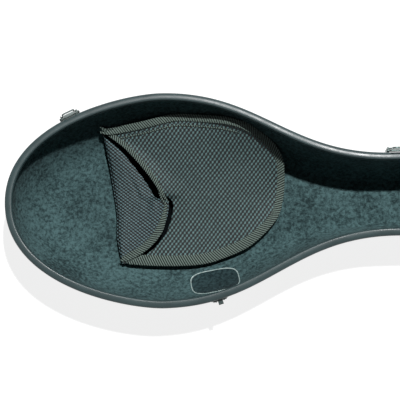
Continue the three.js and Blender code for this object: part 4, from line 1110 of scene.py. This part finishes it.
# %% Bolsters
BASE_FLOOR = BASE_DEPTH - WALL - LINING_STEP - CLEARANCE
PAD_FRONT = [(0.80, 0.0), (1.0, 0.25), (0.85, 0.60), (0.80, 1.0)]
PAD_BACK = (22.0, 44.0, 66.0)


def closed_spline(points, count):
    """A smooth closed curve through the points, span by span, as in the pocket's lines."""
    t = np.linspace(0.0, len(points), count, endpoint=False)
    i = t.astype(int)
    return cubic(*(points[(i + k) % len(points)] for k in (-1, 0, 1, 2)), (t - i)[:, None])


def bolster(name, curve, node):
    """Sections along a piece of the outline. Each level has a draw towards the spine and a height: the back
    follows the bowl at three turns, and the front stands proud of it."""
    step = np.gradient(curve, axis=0)
    normal = np.stack([step[:, 1], -step[:, 0]], axis=1) / np.linalg.norm(step, axis=1)[:, None]
    edge = curve + normal * (LINING_INNER + CLEARANCE)
    target = np.stack([np.clip(curve[:, 0], HALF_WIDTH, None), np.zeros(len(curve))], axis=1)
    level = [bowl(turn, BASE_FLOOR) for turn in PAD_BACK]
    high, low = level[0], level[2]
    level += [(low[0] + (high[0] - low[0]) * math.floor(rise) + 0.2 * proud,
               low[1] + (high[1] - low[1]) * rise) for proud, rise in PAD_FRONT]
    section = closed_spline(np.array(level), 44)
    middle = section.mean(axis=0)
    along = np.linspace(0.0, 1.0, len(curve))
    swell = 0.5 + 0.5 * np.sin(math.pi * along) ** 0.4
    nose = np.sqrt(np.clip(1 - (np.maximum(np.abs(along - 0.5) - 0.44, 0.0) / 0.06) ** 2, 0.0, 1.0))
    seams = sum(np.exp(-((along - place) / 0.008) ** 2) for place in (0.3, 0.7))
    size = np.clip(swell * nose * (0.97 - 0.05 * seams), 0.002, 1.0)
    levels = middle + (section - middle)[None] * size[:, None, None]
    flat = edge[:, None] + (target - edge)[:, None] * levels[..., :1]
    piece = surface(name, in_base(np.dstack([flat, levels[..., 1]])), "base", pad_plush, weld=True)
    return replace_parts(piece, node)


def bezier_part(points, first, last, steps):
    """The part of a Bezier curve between two shares of its own parameter."""
    fine = bezier(points, 1001)
    return walk(fine[int(round(first * 1000)):int(round(last * 1000)) + 1], steps, closed=False)


flank = bezier_part(SHOULDER, 1 / 12, 8 / 12, 120)
arch = bezier_part(ROUND, 0.0, 5 / 9, 70)
bolster("flank_bolster_1", flank, "body_pad_1")
bolster("flank_bolster_2", flank[::-1] * [1, -1], "body_pad_2")
bolster("end_bolster", np.vstack([arch[::-1][:-1] * [1, -1], arch]), "end_pad")

# %% [markdown]
# The neck of the instrument rests in a padded block with a round notch, and a webbing strap goes over it.

# %% Cradle and strap
CRADLE_STATION, CRADLE_LENGTH, CRADLE_TOP, NOTCH = 0.900, 0.064, 0.046, 0.052
CRADLE_GAP = 0.003
cradle_inset = LINING_INNER + CRADLE_GAP + 0.004
low_half = (NECK_HALF - cradle_inset) * (1 - DRAW)
high_half = (NECK_HALF - cradle_inset) * (1 - bowl(PAD_BACK[0], BASE_FLOOR)[0])
half_notch = np.linspace(0.0, math.pi, 25)
notch = np.stack([NOTCH / 2 * np.cos(half_notch), -CRADLE_TOP - NOTCH / 2 - NOTCH / 2 * np.sin(half_notch)],
                 axis=1)
one_side = np.array([(low_half, -BASE_FLOOR + CRADLE_GAP), (high_half * 0.86, -BASE_FLOOR * 0.78),
                     (high_half, -CRADLE_TOP), (NOTCH / 2, -CRADLE_TOP)])
profile = np.vstack([one_side[:1] * [-1, 1], one_side, notch, one_side[:0:-1] * [-1, 1]])
count = len(profile)
ends_x = (CRADLE_STATION - CRADLE_LENGTH / 2 - CRADLE_GAP, CRADLE_STATION + CRADLE_LENGTH / 2 + CRADLE_GAP)
corners = np.vstack([np.column_stack([np.full(count, x), profile]) for x in ends_x])
sides = [(i, (i + 1) % count, (i + 1) % count + count, i + count) for i in range(count)]
caps = [tuple(range(count))[::-1], tuple(range(count, 2 * count))]
cradle_mesh = bpy.data.meshes.new("neck_cradle_pad")
cradle_mesh.from_pydata(in_base(corners).tolist(), [], sides + caps)
work = bmesh.new()
work.from_mesh(cradle_mesh)
bmesh.ops.recalc_face_normals(work, faces=work.faces)
work.to_mesh(cradle_mesh)
work.free()
cradle = bpy.data.objects.new("neck_cradle_pad", cradle_mesh)
scene.collection.objects.link(cradle)
cradle_mesh.materials.append(pad_plush)
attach(cradle, "base")
def soften(thing, width, segments, angle):
    """Rounds a piece's sharp edges with a bevel."""
    edge = thing.modifiers.new("edge", "BEVEL")
    edge.width, edge.segments = width, segments
    edge.limit_method, edge.angle_limit = "ANGLE", math.radians(angle)


soften(cradle, 0.005, 4, 30)
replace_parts(cradle, "neck_cradle")

STRAP_HALF, STRAP_WIDTH, STRAP_THICK, STRAP_RISE = 0.066, 0.034, 0.0023, 0.005
strap_y, strap_x = np.meshgrid(np.linspace(-STRAP_HALF, STRAP_HALF, 70),
                               CRADLE_STATION + np.linspace(-STRAP_WIDTH / 2, STRAP_WIDTH / 2, 14), indexing="ij")
strap_u = strap_y / (2 * STRAP_HALF) + 0.5
strap_z = -CRADLE_TOP + 0.0033 + 2 * strap_u * (1 - strap_u) * STRAP_RISE + 0.0025
strap_solid = thick(np.dstack([strap_x, strap_y, strap_z]), STRAP_THICK)
strap = surface("webbing_strap", in_base(strap_solid), "base", strap_webbing, weld=True,
                uv=strap_solid[..., [1, 0]])
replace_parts(strap, "neck_strap")
print("cradle profile", profile.shape)

# %% [markdown]
# ## Latches, catches, hinge, handle, feet
#
# These are rigid pieces whose CAD shapes are right. They keep their meshes and get their finishes. A Weld
# and a small Bevel round their edges, so that the metal catches light as pressed steel does.

# %% Hardware
DARK_ENDS = ("_plate", "_catch", "_catch_1", "_catch_2", "_bar")


def dress(node, finish, width=0.0004):
    """Gives a CAD node its finish and soft edges."""
    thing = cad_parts[node]
    thing.data.materials.clear()
    thing.data.materials.append(finish)
    thing.modifiers.new("weld", "WELD").merge_threshold = 0.00001
    soften(thing, width, 2, 35)


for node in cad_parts:
    if node.endswith(("_lever", "_bail", "_pin")):
        dress(node, bright_steel, 0.0003)
    elif node.endswith(DARK_ENDS) or "hinge_leaf" in node or "strap_loop" in node:
        dress(node, dark_metal)
    elif "bracket" in node:
        dress(node, shell_plastic, 0.0008)
    elif node.startswith("foot_") or node == "handle_grip":
        dress(node, black_rubber, 0.0008)
